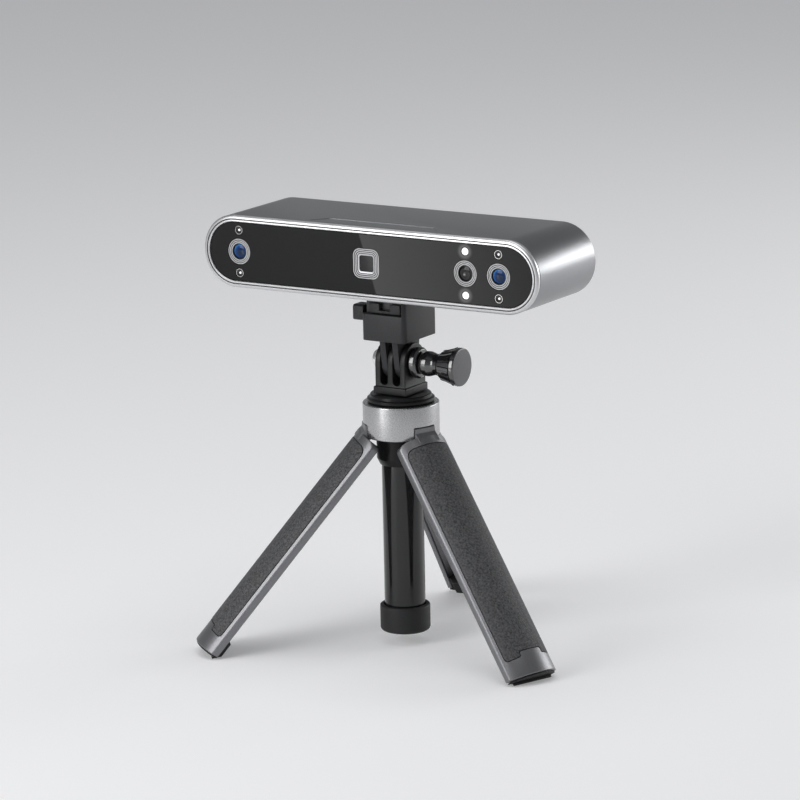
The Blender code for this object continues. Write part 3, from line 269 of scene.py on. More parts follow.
def rounded(points, radius, closed=True, steps=5):
    """A polyline whose corners are turned into arcs; radius is one value or one for each point."""
    count = len(points)
    radii = [radius] * count if isinstance(radius, float) else radius
    outline = []
    for i, (point, bend) in enumerate(zip(points, radii)):
        corner = Vector(point)
        before = Vector(points[i - 1]) - corner
        after = Vector(points[(i + 1) % count]) - corner
        end_of_line = not closed and i in (0, count - 1)
        if bend == 0 or end_of_line or before.angle(after) > math.radians(177):
            outline.append(tuple(corner))
            continue
        half = before.angle(after) / 2
        reach = min(bend / math.tan(half), 0.48 * before.length, 0.48 * after.length)
        middle = corner + (before.normalized() + after.normalized()).normalized() * (reach / math.cos(half))
        start = corner + before.normalized() * reach - middle
        stop = corner + after.normalized() * reach - middle
        sweep = start.angle(stop)
        for step in range(steps + 1):
            near = math.sin(sweep * (1 - step / steps)) / math.sin(sweep)
            far = math.sin(sweep * step / steps) / math.sin(sweep)
            outline.append(tuple(middle + near * start + far * stop))
    return outline


def loft(loops, cyclic=False):
    """Skins a row of equal loops, capped at both ends or closed on itself."""
    shape = bmesh.new()
    rows = [[shape.verts.new(point) for point in loop] for loop in loops]
    count = len(rows[0])
    followers = rows[1:] + rows[:1] if cyclic else rows[1:]
    for near, far in zip(rows, followers):
        for i in range(count):
            j = (i + 1) % count
            shape.faces.new((near[i], near[j], far[j], far[i]))
    if not cyclic:
        shape.faces.new(rows[0])
        shape.faces.new(rows[-1])
    bmesh.ops.recalc_face_normals(shape, faces=shape.faces)
    return shape


def in_scene(name, mesh):
    """A plain object that holds a mesh."""
    item = bpy.data.objects.new(name, mesh)
    scene.collection.objects.link(item)
    return item


def as_object(name, shape):
    """A plain object that holds a shape."""
    mesh = bpy.data.meshes.new(name)
    shape.to_mesh(mesh)
    shape.free()
    return in_scene(name, mesh)


def baked(item):
    """The mesh that an object's modifiers make."""
    bpy.context.view_layer.update()
    evaluated = item.evaluated_get(bpy.context.evaluated_depsgraph_get())
    return bpy.data.meshes.new_from_object(evaluated)


def carved(shape, tool, operation="DIFFERENCE"):
    """A shape with a tool cut from it or joined to it."""
    item = as_object("blank", shape)
    cutter = as_object("cutter", tool)
    modifier = item.modifiers.new("cut", "BOOLEAN")
    modifier.operation = operation
    modifier.object = cutter
    modifier.solver = "EXACT"
    result = bmesh.new()
    result.from_mesh(baked(item))
    bpy.data.objects.remove(item, do_unlink=True)
    bpy.data.objects.remove(cutter, do_unlink=True)
    return result


def mounted(item, body, slot, *nodes):
    """Puts a finished piece on its body, in place of the CAD nodes it stands for."""
    item.data.shade_smooth()
    item.data.set_sharp_from_angle(angle=SHARP_ANGLE)
    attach(item, body)
    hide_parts(*nodes)


def fitted(name, shape, looks, body, slot, *nodes):
    """Gives a shape its finishes and mounts it."""
    item = as_object(name, shape)
    for look in looks if isinstance(looks, list) else [looks]:
        item.data.materials.append(look)
    mounted(item, body, slot, *nodes)


def stadium(inset, y):
    """The scanner's outline drawn in by an inset: two half circles joined by straight runs."""
    radius = HEAD_HEIGHT / 2 - inset
    straight = (HEAD_WIDTH - HEAD_HEIGHT) / 2
    loop = []
    for side in (1, -1):
        loop.append((head.x + side * (straight - RUN_END), y, head.z + side * radius))
        for step in range(END_STEPS + 1):
            turn = math.pi * step / END_STEPS
            x = side * (straight + radius * math.sin(turn))
            loop.append((head.x + x, y, head.z + side * radius * math.cos(turn)))
        loop.append((head.x + side * (straight - RUN_END), y, head.z - side * radius))
    return loop


def turned(profile, place, direction=Matrix.Identity(4), sides=96, hollow=False):
    """Turns (radius, height) points about an axis; a hollow profile closes on itself."""
    loops = []
    for radius, height in profile:
        ring = []
        for i in range(sides):
            angle = 2 * math.pi * i / sides
            ring.append(Vector((radius * math.cos(angle), radius * math.sin(angle), height)))
        loops.append(ring)
    shape = loft(loops, cyclic=hollow)
    shape.transform(Matrix.Translation(place) @ direction)
    return shape


anodised = surface("anodised_aluminium", (0.30, 0.305, 0.315), 0.36, 1.0, grain=2600, mottle=0.05,
                   bump=0.10, bump_scale=9000)
housing_profile = rounded([(0, head_low.y), (0, REAR_Y), (HOUSING_WALL, REAR_Y), (HOUSING_WALL, head_low.y)],
                          [HOUSING_EASE, REAR_EASE, HOUSING_EASE, 0])
housing = loft([stadium(inset, y) for inset, y in housing_profile], cyclic=True)
insert_hole = turned([(INSERT_HOLE_RADIUS, -HOUSING_WALL), (INSERT_HOLE_RADIUS, 2 * HOUSING_WALL)],
                     (axis.x, axis.y, head_low.z), sides=48)
housing = carved(housing, insert_hole)
panel_front = FRONT_Y + PANEL_FRONT
panel_rear = panel_front + PANEL_LENGTH
panel_outline = rounded([(-PANEL_HALF_FRONT, panel_front), (PANEL_HALF_FRONT, panel_front),
                         (PANEL_HALF_REAR, panel_rear), (-PANEL_HALF_REAR, panel_rear)], PANEL_CORNER)
panel = loft([[(head.x + x, y, z) for x, y in panel_outline]
              for z in (head_high.z - PANEL_DEPTH, head_high.z + HOUSING_WALL)])
housing = carved(housing, panel)
fitted("housing", housing, anodised, "scanner", "grey_aluminium", "head_housing")

# Front rim: a polished aluminium frame pressed over the front of the housing.
# A groove runs between its broad outer bevel and the thin bead that holds the glass; its floor is painted
# dark as painted shade.
RIM_FACE = 0.0026
RIM_DEPTH = 0.0016
RIM_BEVEL = 0.0007
GROOVE_OUTER = 0.00135
GROOVE_INNER = 0.00178
GROOVE_DEPTH = 0.00030
polished = surface("polished_aluminium", (0.62, 0.62, 0.63), 0.38, 1.0, grain=900, mottle=0.02)
painted_groove_shade = surface("painted_groove_shade", (0.035, 0.035, 0.037), 0.5, 0.3)
rim_profile = [(0, RIM_DEPTH), (0, RIM_BEVEL), (0.0003, 0.00030), (0.0008, 0.00008),
               (GROOVE_OUTER - 0.0001, 0), (GROOVE_OUTER, 0.00006), (GROOVE_OUTER, GROOVE_DEPTH),
               (GROOVE_INNER, GROOVE_DEPTH), (GROOVE_INNER, 0.00010), (GROOVE_INNER + 0.0001, 0.00004),
               (RIM_FACE - 0.0002, 0.00004), (RIM_FACE, 0.0003), (RIM_FACE, RIM_DEPTH)]
rim = loft([stadium(inset, FRONT_Y + depth) for inset, depth in rim_profile], cyclic=True)
# The groove's floor faces get a dark finish: painted shade in the groove.
for face in rim.faces:
    in_painted_shade = all(abs(v.co.y - FRONT_Y - GROOVE_DEPTH) < 0.00001 for v in face.verts)
    face.material_index = 1 if in_painted_shade else 0
fitted("rim", rim, [polished, painted_groove_shade], "scanner", "polished_rim", "front_rim")

# Front glass: a black-backed glass plate set in the rim, with openings for the optics behind it.
# Its edge is ground to a small bevel, and a painted glow lies on it round the two fill lights.
GLASS_INSET = 0.0028
GLASS_RECESS = 0.0005
GLASS_THICKNESS = 0.0011
GLASS_BEVEL = 0.00012
OPENING_GAP = 0.00012
CAMERA_RADIUS = 0.0051
LAMP_RADIUS = 0.0018
PROJECTOR_SIDE = 0.0118
PROJECTOR_CORNER = 0.0030
PAINTED_GLOW_REACH = 0.0037             # how far the painted glow round the fill lights reaches over the glass
PAINTED_GLOW_STRENGTH = 0.15
GLASS_Y = FRONT_Y + GLASS_RECESS
TO_FRONT = Matrix.Rotation(math.radians(90), 4, "X")
TO_REAR = Matrix.Rotation(math.radians(-90), 4, "X")
TO_RIGHT = Matrix.Rotation(math.radians(90), 4, "Y")
TO_LEFT = Matrix.Rotation(math.radians(-90), 4, "Y")


def square(side, corner, place, y):
    """A square with round corners round a point, facing the front."""
    half = side / 2
    corners = [(half, half), (-half, half), (-half, -half), (half, -half)]
    return [(place.x + x, y, place.z + z) for x, z in rounded(corners, float(corner), steps=10)]


black_glass = surface("black_glass", (0.0045, 0.0045, 0.005), 0.012, grain=300, mottle=0.05, ior=1.30)
glass_profile = [(GLASS_INSET, GLASS_THICKNESS), (GLASS_INSET, GLASS_BEVEL), (GLASS_INSET + GLASS_BEVEL, 0)]
glass = loft([stadium(inset, GLASS_Y + depth) for inset, depth in glass_profile])
CAMERA_NODES = ["left_depth_camera", "color_camera", "right_depth_camera"]
IR_NODES = ["ir_lamp_left_upper", "ir_lamp_left_lower", "ir_lamp_right_upper", "ir_lamp_right_lower"]
FILL_NODES = ["fill_light_upper", "fill_light_lower"]
for node in CAMERA_NODES + IR_NODES + FILL_NODES:
    opening_radius = (CAMERA_RADIUS if node in CAMERA_NODES else LAMP_RADIUS) + OPENING_GAP
    opening_place = (centre(node).x, GLASS_Y - GLASS_THICKNESS, centre(node).z)
    opening = turned([(opening_radius, 0), (opening_radius, 3 * GLASS_THICKNESS)], opening_place, TO_REAR, 64)
    glass = carved(glass, opening)
# The glass's emission is a painted glow, fading out from each fill light.
glass_tree = black_glass.node_tree
glass_shader = glass_tree.nodes["Principled BSDF"]
glass_shader.inputs["Emission Color"].default_value = (1, 1, 1, 1)
painted_glow_sum = glass_tree.nodes.new("ShaderNodeMath")
painted_glow_sum.operation = "ADD"
for number, node in enumerate(FILL_NODES):
    reach = glass_tree.nodes.new("ShaderNodeVectorMath")
    reach.operation = "DISTANCE"
    reach.inputs[1].default_value = (centre(node).x, GLASS_Y, centre(node).z)
    painted_glow_fading = glass_tree.nodes.new("ShaderNodeMapRange")
    painted_glow_fading.interpolation_type = "SMOOTHSTEP"
    painted_glow_fading.inputs["From Min"].default_value = LAMP_RADIUS * 0.6
    painted_glow_fading.inputs["From Max"].default_value = PAINTED_GLOW_REACH
    painted_glow_fading.inputs["To Min"].default_value = PAINTED_GLOW_STRENGTH
    painted_glow_fading.inputs["To Max"].default_value = 0.0
    wire(glass_tree, (glass_tree.nodes["Texture Coordinate"].outputs["Object"], reach.inputs[0]),
         (reach.outputs["Value"], painted_glow_fading.inputs["Value"]),
         (painted_glow_fading.outputs["Result"], painted_glow_sum.inputs[number]))
wire(glass_tree, (painted_glow_sum.outputs["Value"], glass_shader.inputs["Emission Strength"]))
projector = centre("projector_module")
mouth_side = PROJECTOR_SIDE + 2 * OPENING_GAP
mouth = loft([square(mouth_side, PROJECTOR_CORNER + OPENING_GAP, projector, GLASS_Y + depth)
              for depth in (-GLASS_THICKNESS, 2 * GLASS_THICKNESS)])
glass = carved(glass, mouth)
fitted("glass", glass, black_glass, "scanner", "black_glass", "front_glass")

# Chassis: a moulded grey plate behind the glass that holds the optics, with posts for board and cover.
# It is hidden once the scanner is closed, so its CAD form is kept and only eased at its edges.
CHASSIS_EASE = 0.0002


def from_frame(node):
    """A CAD node's shape with its triangles joined up."""
    shape = bmesh.new()
    shape.from_mesh(bpy.data.objects[node].data)
    bmesh.ops.remove_doubles(shape, verts=shape.verts, dist=1e-6)
    bmesh.ops.dissolve_limit(shape, angle_limit=math.radians(1), verts=shape.verts, edges=shape.edges)
    return shape


def softened(shape, width, segments=3, sharper_than=40):
    """A shape with its sharp edges rounded over."""
    edges = [edge for edge in shape.edges
             if len(edge.link_faces) == 2 and edge.calc_face_angle() > math.radians(sharper_than)]
    bmesh.ops.bevel(shape, geom=edges, offset=width, offset_type="OFFSET", segments=segments, profile=0.5,
                    affect="EDGES", clamp_overlap=True)
    return shape


def eased(name, node, ease, look, body, slot, sharper_than=40):
    """Keeps a CAD node's own form, with its sharp edges rounded over."""
    fitted(name, softened(from_frame(node), ease, sharper_than=sharper_than), look, body, slot, node)


grey_plastic = surface("grey_plastic", (0.10, 0.10, 0.105), 0.5, grain=1500)
eased("chassis", "front_chassis", CHASSIS_EASE, grey_plastic, "scanner", "camera_ring")

# Cameras: turned barrels with three stepped grey rings, set just behind the face of the glass.
# The depth cameras have blue coated lenses with a painted highlight crescent, the colour camera a clear one
# over a black sensor with a painted glint.
BARREL_LENGTH = 0.0110
BARREL_SET_BACK = 0.00010
LENS_RADIUS = 0.0029
SEAT_DEPTH = 0.0016
RING_EDGES = [0.00510, 0.00441, 0.00372, 0.00303]
RING_GROOVE = 0.00030
RING_STEP = 0.00004
ring_grey = surface("ring_grey", (0.50, 0.50, 0.505), 0.42, 0.35, grain=2000)
ring_black = surface("ring_black", (0.012, 0.012, 0.013), 0.45)
# Lens tints: the blue runs out to a painted highlight crescent at the lens edge; the clear lens has a painted
# glint near its middle.
BLUE_TINT_AND_HIGHLIGHT_STOPS = [(0.0, (0.006, 0.020, 0.050)), (0.45, (0.008, 0.026, 0.085)), (0.72, (0.014, 0.060, 0.22)),
              (0.88, (0.05, 0.20, 0.52)), (1.0, (0.16, 0.34, 0.62))]
CLEAR_TINT_AND_GLINT_STOPS = [(0.0, (0.45, 0.45, 0.45)), (0.13, (0.10, 0.10, 0.10)), (0.24, (0.012, 0.012, 0.013)),
               (0.60, (0.045, 0.045, 0.046)), (0.74, (0.012, 0.012, 0.013)), (1.0, (0.090, 0.090, 0.093))]
BLUE_HIGHLIGHT_SHIFT = Vector((0.00050, 0, -0.00045))      # the blue is deepest here, off the lens's middle, and a painted highlight crescent lies at the far edge
CLEAR_GLINT_SHIFT = Vector((-0.00060, 0, -0.00050))    # a painted glint sits here, off the clear lens's middle, over the dark sensor


def tinted_with_painted_highlight(name, middle, stops):
    """A lens tint with painted highlights, running outward in rings from a point near the lens's middle."""
    look = surface(name, (0.01, 0.01, 0.01), 0.06, ior=1.3)
    tree = look.node_tree
    reach = tree.nodes.new("ShaderNodeVectorMath")
    reach.operation = "DISTANCE"
    reach.inputs[1].default_value = middle
    spread = tree.nodes.new("ShaderNodeMapRange")
    spread.inputs["From Max"].default_value = LENS_RADIUS + BLUE_HIGHLIGHT_SHIFT.length
    tint = tree.nodes.new("ShaderNodeValToRGB")
    for number, (position, color) in enumerate(stops):
        stop = tint.color_ramp.elements[number] if number < 2 else tint.color_ramp.elements.new(position)
        stop.position = position
        stop.color = (*color, 1)
    wire(tree, (tree.nodes["Texture Coordinate"].outputs["Object"], reach.inputs[0]),
         (reach.outputs["Value"], spread.inputs["Value"]), (spread.outputs["Result"], tint.inputs["Fac"]),
         (tint.outputs["Color"], tree.nodes["Principled BSDF"].inputs["Base Color"]))
    return look


barrel_profile = [(CAMERA_RADIUS, 0.0)]
level_drop = 0.0
for outer, inner in zip(RING_EDGES, RING_EDGES[1:]):
    face = BARREL_LENGTH - BARREL_SET_BACK - level_drop
    barrel_profile += [(outer, face - 0.00006), (outer - 0.00006, face), (inner + RING_GROOVE, face),
                       (inner + RING_GROOVE - 0.00003, face - 2 * RING_STEP), (inner, face - 2 * RING_STEP)]
    level_drop += RING_STEP
lens_seat = BARREL_LENGTH - SEAT_DEPTH
barrel_profile += [(LENS_RADIUS + 0.0001, BARREL_LENGTH - 0.0006), (LENS_RADIUS + 0.0001, lens_seat),
                   (0.0004, lens_seat)]
lens_profile = [(LENS_RADIUS, lens_seat + 0.0002)]
for step in range(12):
    angle = math.pi / 2 * step / 12
    lens_profile.append((LENS_RADIUS * math.cos(angle), BARREL_LENGTH - 0.0010 + 0.0006 * math.sin(angle)))
lens_profile.append((0.0001, BARREL_LENGTH - 0.0004))
ring_spans = [(inner + RING_GROOVE, outer) for outer, inner in zip(RING_EDGES, RING_EDGES[1:])]
for node in CAMERA_NODES:
    barrel_foot = (centre(node).x, GLASS_Y + BARREL_LENGTH, centre(node).z)
    barrel = turned(barrel_profile, barrel_foot, TO_FRONT)
    for face in barrel.faces:
        reaches = [math.hypot(v.co.x - barrel_foot[0], v.co.z - barrel_foot[2]) for v in face.verts]
        off_axis = sum(reaches) / len(reaches)
        in_band = any(inside < off_axis < outside for inside, outside in ring_spans)
        is_ring = in_band and face.calc_center_median().y < GLASS_Y + 0.0010
        face.material_index = 0 if is_ring else 1
    fitted(node + "_barrel", barrel, [ring_grey, ring_black], "scanner", "camera_ring", node)
    lens = turned(lens_profile, barrel_foot, TO_FRONT, 64)
    lens_node = node.replace("_camera", "_lens")
    shift, stops = (CLEAR_GLINT_SHIFT, CLEAR_TINT_AND_GLINT_STOPS) if node == "color_camera" else (BLUE_HIGHLIGHT_SHIFT, BLUE_TINT_AND_HIGHLIGHT_STOPS)
    highlight_centre = Vector((barrel_foot[0], GLASS_Y + 0.0004, barrel_foot[2])) + shift
    lens_tint_and_highlight = tinted_with_painted_highlight(lens_node + "_tint_and_painted_highlight", highlight_centre, stops)
    fitted(lens_node + "_glass", lens, lens_tint_and_highlight, "scanner", "coated_lens", lens_node)

# Projector: a square module whose stepped frame catches the light as nested bright lines.
# A dark window in its middle lets the light pattern out.
PROJECTOR_LENGTH = 0.0140
FRAME_HALVES = [0.00590, 0.00520, 0.00450, 0.00380]
FRAME_STEP = 0.00006
FRAME_GROOVE = 0.00034
WINDOW_SIDE = 0.0062
WINDOW_CORNER = 0.0010
frame_grey = surface("frame_grey", (0.50, 0.50, 0.51), 0.32, 0.6, grain=1800)
module_profile = [(PROJECTOR_SIDE / 2, PROJECTOR_LENGTH)]
drop = BARREL_SET_BACK
for outer, inner in zip(FRAME_HALVES, FRAME_HALVES[1:]):
    module_profile += [(outer, drop + 0.00005), (outer - 0.00005, drop), (inner + FRAME_GROOVE, drop),
                       (inner + FRAME_GROOVE - 0.00002, drop + 2 * FRAME_STEP),
                       (inner, drop + 2 * FRAME_STEP)]
    drop += FRAME_STEP
module_profile += [(FRAME_HALVES[-1], drop), (WINDOW_SIDE / 2 + 0.0001, drop + 0.0001),
                   (WINDOW_SIDE / 2 + 0.0001, 0.0018)]
module_loops = []
for half, depth in module_profile:
    corner = max(0.0008, PROJECTOR_CORNER - (PROJECTOR_SIDE / 2 - half) * 0.75)
    module_loops.append(square(2 * half, corner, projector, GLASS_Y + depth))
module = loft(module_loops)
module.faces.index_update()
for face in module.faces:
    strip = face.index // len(module_loops[0])
    is_land = strip % 5 == 2 and strip < 15
    is_lip = strip == len(module_profile) - 3
    face.material_index = 0 if is_land or is_lip else 1
fitted("projector_frame", module, [frame_grey, ring_black], "scanner", "camera_ring", "projector_module")
window_black = surface("window_black", (0.012, 0.012, 0.013), 0.05, grain=400, mottle=0.35, ior=1.3)
window_profile = [(WINDOW_SIDE, 0.0015), (WINDOW_SIDE, 0.00060), (WINDOW_SIDE - 0.0002, 0.00050)]
window = loft([square(side, WINDOW_CORNER, projector, GLASS_Y + depth) for side, depth in window_profile])
fitted("projector_pane", window, window_black, "scanner", "black_glass", "projector_window")

# Lamps: four infrared lamps in small chrome cups and two white fill lights beside the colour camera.
# Each set is one turned part, set out on its places by a node tree.
LAMP_LENGTH = 0.0052
CUP_EDGE = 0.00150
CUP_FLOOR = 0.00060
CHIP_RADIUS = 0.00048
FILL_GLOW = 1.3
FILL_CORE = 0.00112
FILL_HALO = 0.00150


def grown(item, tree, pattern, settings):
    """The plain mesh that a node tree makes from an object; the object and its pattern are then removed."""
    modifier = item.modifiers.new("copies", "NODES")
    modifier.node_group = tree
    for socket, value in settings:
        modifier[socket.identifier] = value
    finished = baked(item)
    item.modifiers.remove(modifier)
    for spent in (item, pattern):
        bpy.data.objects.remove(spent, do_unlink=True)
    return finished


def set_out(name, places, pattern, looks):
    """Sets copies of a pattern part on a list of places with a node tree, as one mesh."""
    points = bpy.data.meshes.new(name)
    points.from_pydata(places, [], [])
    tree = bpy.data.node_groups.new(name + "_places", "GeometryNodeTree")
    tree.interface.new_socket("Places", in_out="INPUT", socket_type="NodeSocketGeometry")
    part_socket = tree.interface.new_socket("Part", in_out="INPUT", socket_type="NodeSocketObject")
    look_socket = tree.interface.new_socket("Main finish", in_out="INPUT", socket_type="NodeSocketMaterial")
    tree.interface.new_socket("Parts", in_out="OUTPUT", socket_type="NodeSocketGeometry")
    given = tree.nodes.new("NodeGroupInput")
    result = tree.nodes.new("NodeGroupOutput")
    part = tree.nodes.new("GeometryNodeObjectInfo")
    copies = tree.nodes.new("GeometryNodeInstanceOnPoints")
    solid = tree.nodes.new("GeometryNodeRealizeInstances")
    paint = tree.nodes.new("GeometryNodeSetMaterial")
    finish_number = tree.nodes.new("GeometryNodeInputMaterialIndex")
    is_main = tree.nodes.new("FunctionNodeCompare")
    is_main.data_type = "INT"
    is_main.operation = "EQUAL"
    wire(tree, (given.outputs["Part"], part.inputs["Object"]),
         (given.outputs["Places"], copies.inputs["Points"]),
         (part.outputs["Geometry"], copies.inputs["Instance"]),
         (copies.outputs["Instances"], solid.inputs["Geometry"]),
         (solid.outputs["Geometry"], paint.inputs["Geometry"]),
         (finish_number.outputs["Material Index"], is_main.inputs[2]),
         (is_main.outputs["Result"], paint.inputs["Selection"]),
         (given.outputs["Main finish"], paint.inputs["Material"]),
         (paint.outputs["Geometry"], result.inputs["Parts"]))
    for look in looks:
        pattern.data.materials.append(look)
    return grown(in_scene(name, points), tree, pattern, [(part_socket, pattern), (look_socket, looks[0])])


def glowing(name, color, strength):
    """A lit surface with a faint unevenness."""
    look = surface(name, color, 0.4, grain=700, mottle=0.03)
    shader = look.node_tree.nodes["Principled BSDF"]
    shader.inputs["Emission Color"].default_value = (*color, 1)
    shader.inputs["Emission Strength"].default_value = strength
    return look


chrome = surface("chrome", (0.82, 0.82, 0.83), 0.10, 1.0, grain=500, mottle=0.02)
cup_chrome = surface("cup_chrome", (0.46, 0.45, 0.43), 0.22, 1.0, grain=900, mottle=0.05)
cup_dark = surface("cup_dark", (0.06, 0.06, 0.065), 0.25, 0.6)
chip_glow = glowing("chip_glow", (0.95, 0.94, 0.90), 0.55)
white_glow = glowing("white_glow", (1.0, 1.0, 1.0), FILL_GLOW)
soft_glow = glowing("soft_glow", (0.75, 0.75, 0.75), 0.55)
cup_profile = [(LAMP_RADIUS, 0), (LAMP_RADIUS, LAMP_LENGTH - 0.0002),
               (LAMP_RADIUS - 0.0001, LAMP_LENGTH - 0.0001), (CUP_EDGE, LAMP_LENGTH - 0.0001),
               (CUP_EDGE - 0.0001, LAMP_LENGTH - 0.0002),
               (CUP_FLOOR, LAMP_LENGTH - 0.0007), (CHIP_RADIUS, LAMP_LENGTH - 0.0007),
               (CHIP_RADIUS * 0.9, LAMP_LENGTH - 0.0004), (CHIP_RADIUS * 0.4, LAMP_LENGTH - 0.00025)]
cup = turned(cup_profile, (0, 0, 0), TO_FRONT, 40)
for face in cup.faces:
    middle = face.calc_center_median()
    off_axis = math.hypot(middle.x, middle.z)
    in_front = middle.y < -LAMP_LENGTH + 0.0009
    if in_front and off_axis < CUP_EDGE * 0.97:
        face.material_index = 2 if off_axis < CHIP_RADIUS else 1
ir_places = [(centre(node).x, GLASS_Y + LAMP_LENGTH, centre(node).z) for node in IR_NODES]
ir_lamps = set_out("infrared_lamps", ir_places, as_object("lamp_cup", cup), [cup_chrome, cup_dark, chip_glow])
mounted(in_scene("infrared_lamps", ir_lamps), "scanner", "chrome", *IR_NODES)
dome_foot = LAMP_LENGTH - 0.0003
dome_profile = [(LAMP_RADIUS, 0), (LAMP_RADIUS, dome_foot - 0.0001), (LAMP_RADIUS - 0.0001, dome_foot)]
for share, rise in ((1.0, 0.0), (0.92, 0.00004), (0.80, 0.00012), (0.6, 0.00022), (0.35, 0.00028),
                    (0.1, 0.0003)):
    dome_profile.append((FILL_HALO * share, dome_foot + rise))
dome = turned(dome_profile, (0, 0, 0), TO_FRONT, 40)
for face in dome.faces:
    middle = face.calc_center_median()
    off_axis = math.hypot(middle.x, middle.z)
    in_front = middle.y < -LAMP_LENGTH + 0.00035
    face.material_index = 2 if not in_front or off_axis > FILL_HALO else 1 if off_axis > FILL_CORE else 0
fill_places = [(centre(node).x, GLASS_Y + LAMP_LENGTH, centre(node).z) for node in FILL_NODES]
fill_lights = set_out("fill_lights", fill_places, as_object("fill_dome", dome),
                      [white_glow, soft_glow, ring_black])
mounted(in_scene("fill_lights", fill_lights), "scanner", "lamp_white", *FILL_NODES)

# Main board: a green fibreglass circuit board on four posts of the chassis, hidden in the housing.
# The push switch behind the start button sits on it; both keep their CAD forms, eased at the edges.
BOARD_EASE = 0.0002
board_green = surface("board_green", (0.02, 0.13, 0.05), 0.45, grain=700, mottle=0.25)
black_plastic = surface("black_plastic", (0.030, 0.030, 0.032), 0.42, grain=1500, mottle=0.10, bump=0.06,
                        bump_scale=7000)
eased("circuit_board", "main_board", BOARD_EASE, board_green, "scanner", "circuit_board")
eased("push_switch", "button_switch", BOARD_EASE, black_plastic, "scanner", "black_plastic")

# Data port: a drawn steel shell with a black tongue, open at the rear for the cable's plug.
# A row of gilt contacts lies on both faces of the tongue.
PORT_WALL = 0.0004
PORT_MOUTH = 0.0062
TONGUE_WIDTH = 0.0062
TONGUE_THICKNESS = 0.0007
TONGUE_LENGTH = 0.0050
CONTACT_COUNT = 12
CONTACT_PITCH = 0.0005
CONTACT_SIZE = Vector((0.00026, 0.0034, 0.00006))
port_low, port_high = box_of("data_port")
port = (port_low + port_high) / 2


def port_loop(inset, y):
    """The port's outline, drawn in by an inset."""
    half_width = (port_high.x - port_low.x) / 2 - inset
    half_height = (port_high.z - port_low.z) / 2 - inset
    corners = [(half_width, half_height), (-half_width, half_height), (-half_width, -half_height),
               (half_width, -half_height)]
    return [(port.x + x, y, port.z + z) for x, z in rounded(corners, half_height * 0.95, steps=10)]


steel = surface("drawn_steel", (0.55, 0.55, 0.56), 0.25, 1.0, grain=900)
gilt = surface("gilt_contact", (0.80, 0.58, 0.25), 0.25, 1.0)
port_profile = [(0, port_low.y), (0, port_high.y - 0.0001), (0.0001, port_high.y), (PORT_WALL, port_high.y),
                (PORT_WALL, port_high.y - PORT_MOUTH)]
port_shell = loft([port_loop(inset, y) for inset, y in port_profile])
fitted("port_shell", port_shell, steel, "scanner", "chrome", "data_port")
tongue_start = port_high.y - PORT_MOUTH + 0.0001
tongue_outline = rounded([(TONGUE_WIDTH / 2, 0), (TONGUE_WIDTH / 2, TONGUE_LENGTH),
                          (-TONGUE_WIDTH / 2, TONGUE_LENGTH), (-TONGUE_WIDTH / 2, 0)], [0, 0.0006, 0.0006, 0])
tongue = loft([[(port.x + x, tongue_start + y, port.z + z) for x, y in tongue_outline]
               for z in (-TONGUE_THICKNESS / 2, TONGUE_THICKNESS / 2)])
fitted("port_tongue", tongue, black_plastic, "scanner", "black_plastic", "data_port")
contact = bmesh.new()
bmesh.ops.create_cube(contact, size=1, matrix=Matrix.Diagonal((*CONTACT_SIZE, 1)))
contact = softened(contact, 0.00002, segments=1)
contact_places = []
for face_side in (-1, 1):
    for number in range(CONTACT_COUNT):
        offset = (number - (CONTACT_COUNT - 1) / 2) * CONTACT_PITCH
        contact_places.append((port.x + offset, tongue_start + TONGUE_LENGTH * 0.55,
                               port.z + face_side * TONGUE_THICKNESS / 2))
contacts = set_out("port_contacts", contact_places, as_object("contact", contact), [gilt])
mounted(in_scene("port_contacts", contacts), "scanner", "brass", "data_port")

# Rear cover: a black moulded plate set into the back of the housing and held by two small screws.
# The screws are blackened steel with a cross recess.
COVER_EASE = 0.0002
SCREW_SLOT_LENGTH = 0.0022
SCREW_SLOT_WIDTH = 0.0005
SCREW_SLOT_DEPTH = 0.0006
eased("back_cover", "rear_cover", COVER_EASE, black_plastic, "scanner", "black_plastic")
dark_steel = surface("dark_steel", (0.08, 0.08, 0.085), 0.35, 0.9, grain=1500)
for node in ("rear_screw_left", "rear_screw_right"):
    screw_low, screw_high = box_of(node)
    screw_axis = (screw_low + screw_high) / 2
    head_radius = (screw_high.x - screw_low.x) / 2
    length = screw_high.y - screw_low.y
    shaft = head_radius * 0.53
    screw_profile = rounded([(shaft * 0.6, 0), (shaft, shaft), (shaft, length - 0.0010),
                             (head_radius, length - 0.0010), (head_radius, length - 0.0003),
                             (head_radius * 0.7, length)], 0.00008, closed=False, steps=3)
    screw = turned(screw_profile, (screw_axis.x, screw_low.y, screw_axis.z), TO_REAR, 48)
    slot_place = Matrix.Translation((screw_axis.x, screw_high.y, screw_axis.z))
    for wide, tall in ((SCREW_SLOT_LENGTH, SCREW_SLOT_WIDTH), (SCREW_SLOT_WIDTH, SCREW_SLOT_LENGTH)):
        slot = bmesh.new()
        slot_size = Matrix.Diagonal((wide, 2 * SCREW_SLOT_DEPTH, tall, 1))
        bmesh.ops.create_cube(slot, size=1, matrix=slot_place @ slot_size)
        screw = carved(screw, slot)
    fitted(node + "_turned", screw, dark_steel, "scanner", "dark_steel", node)

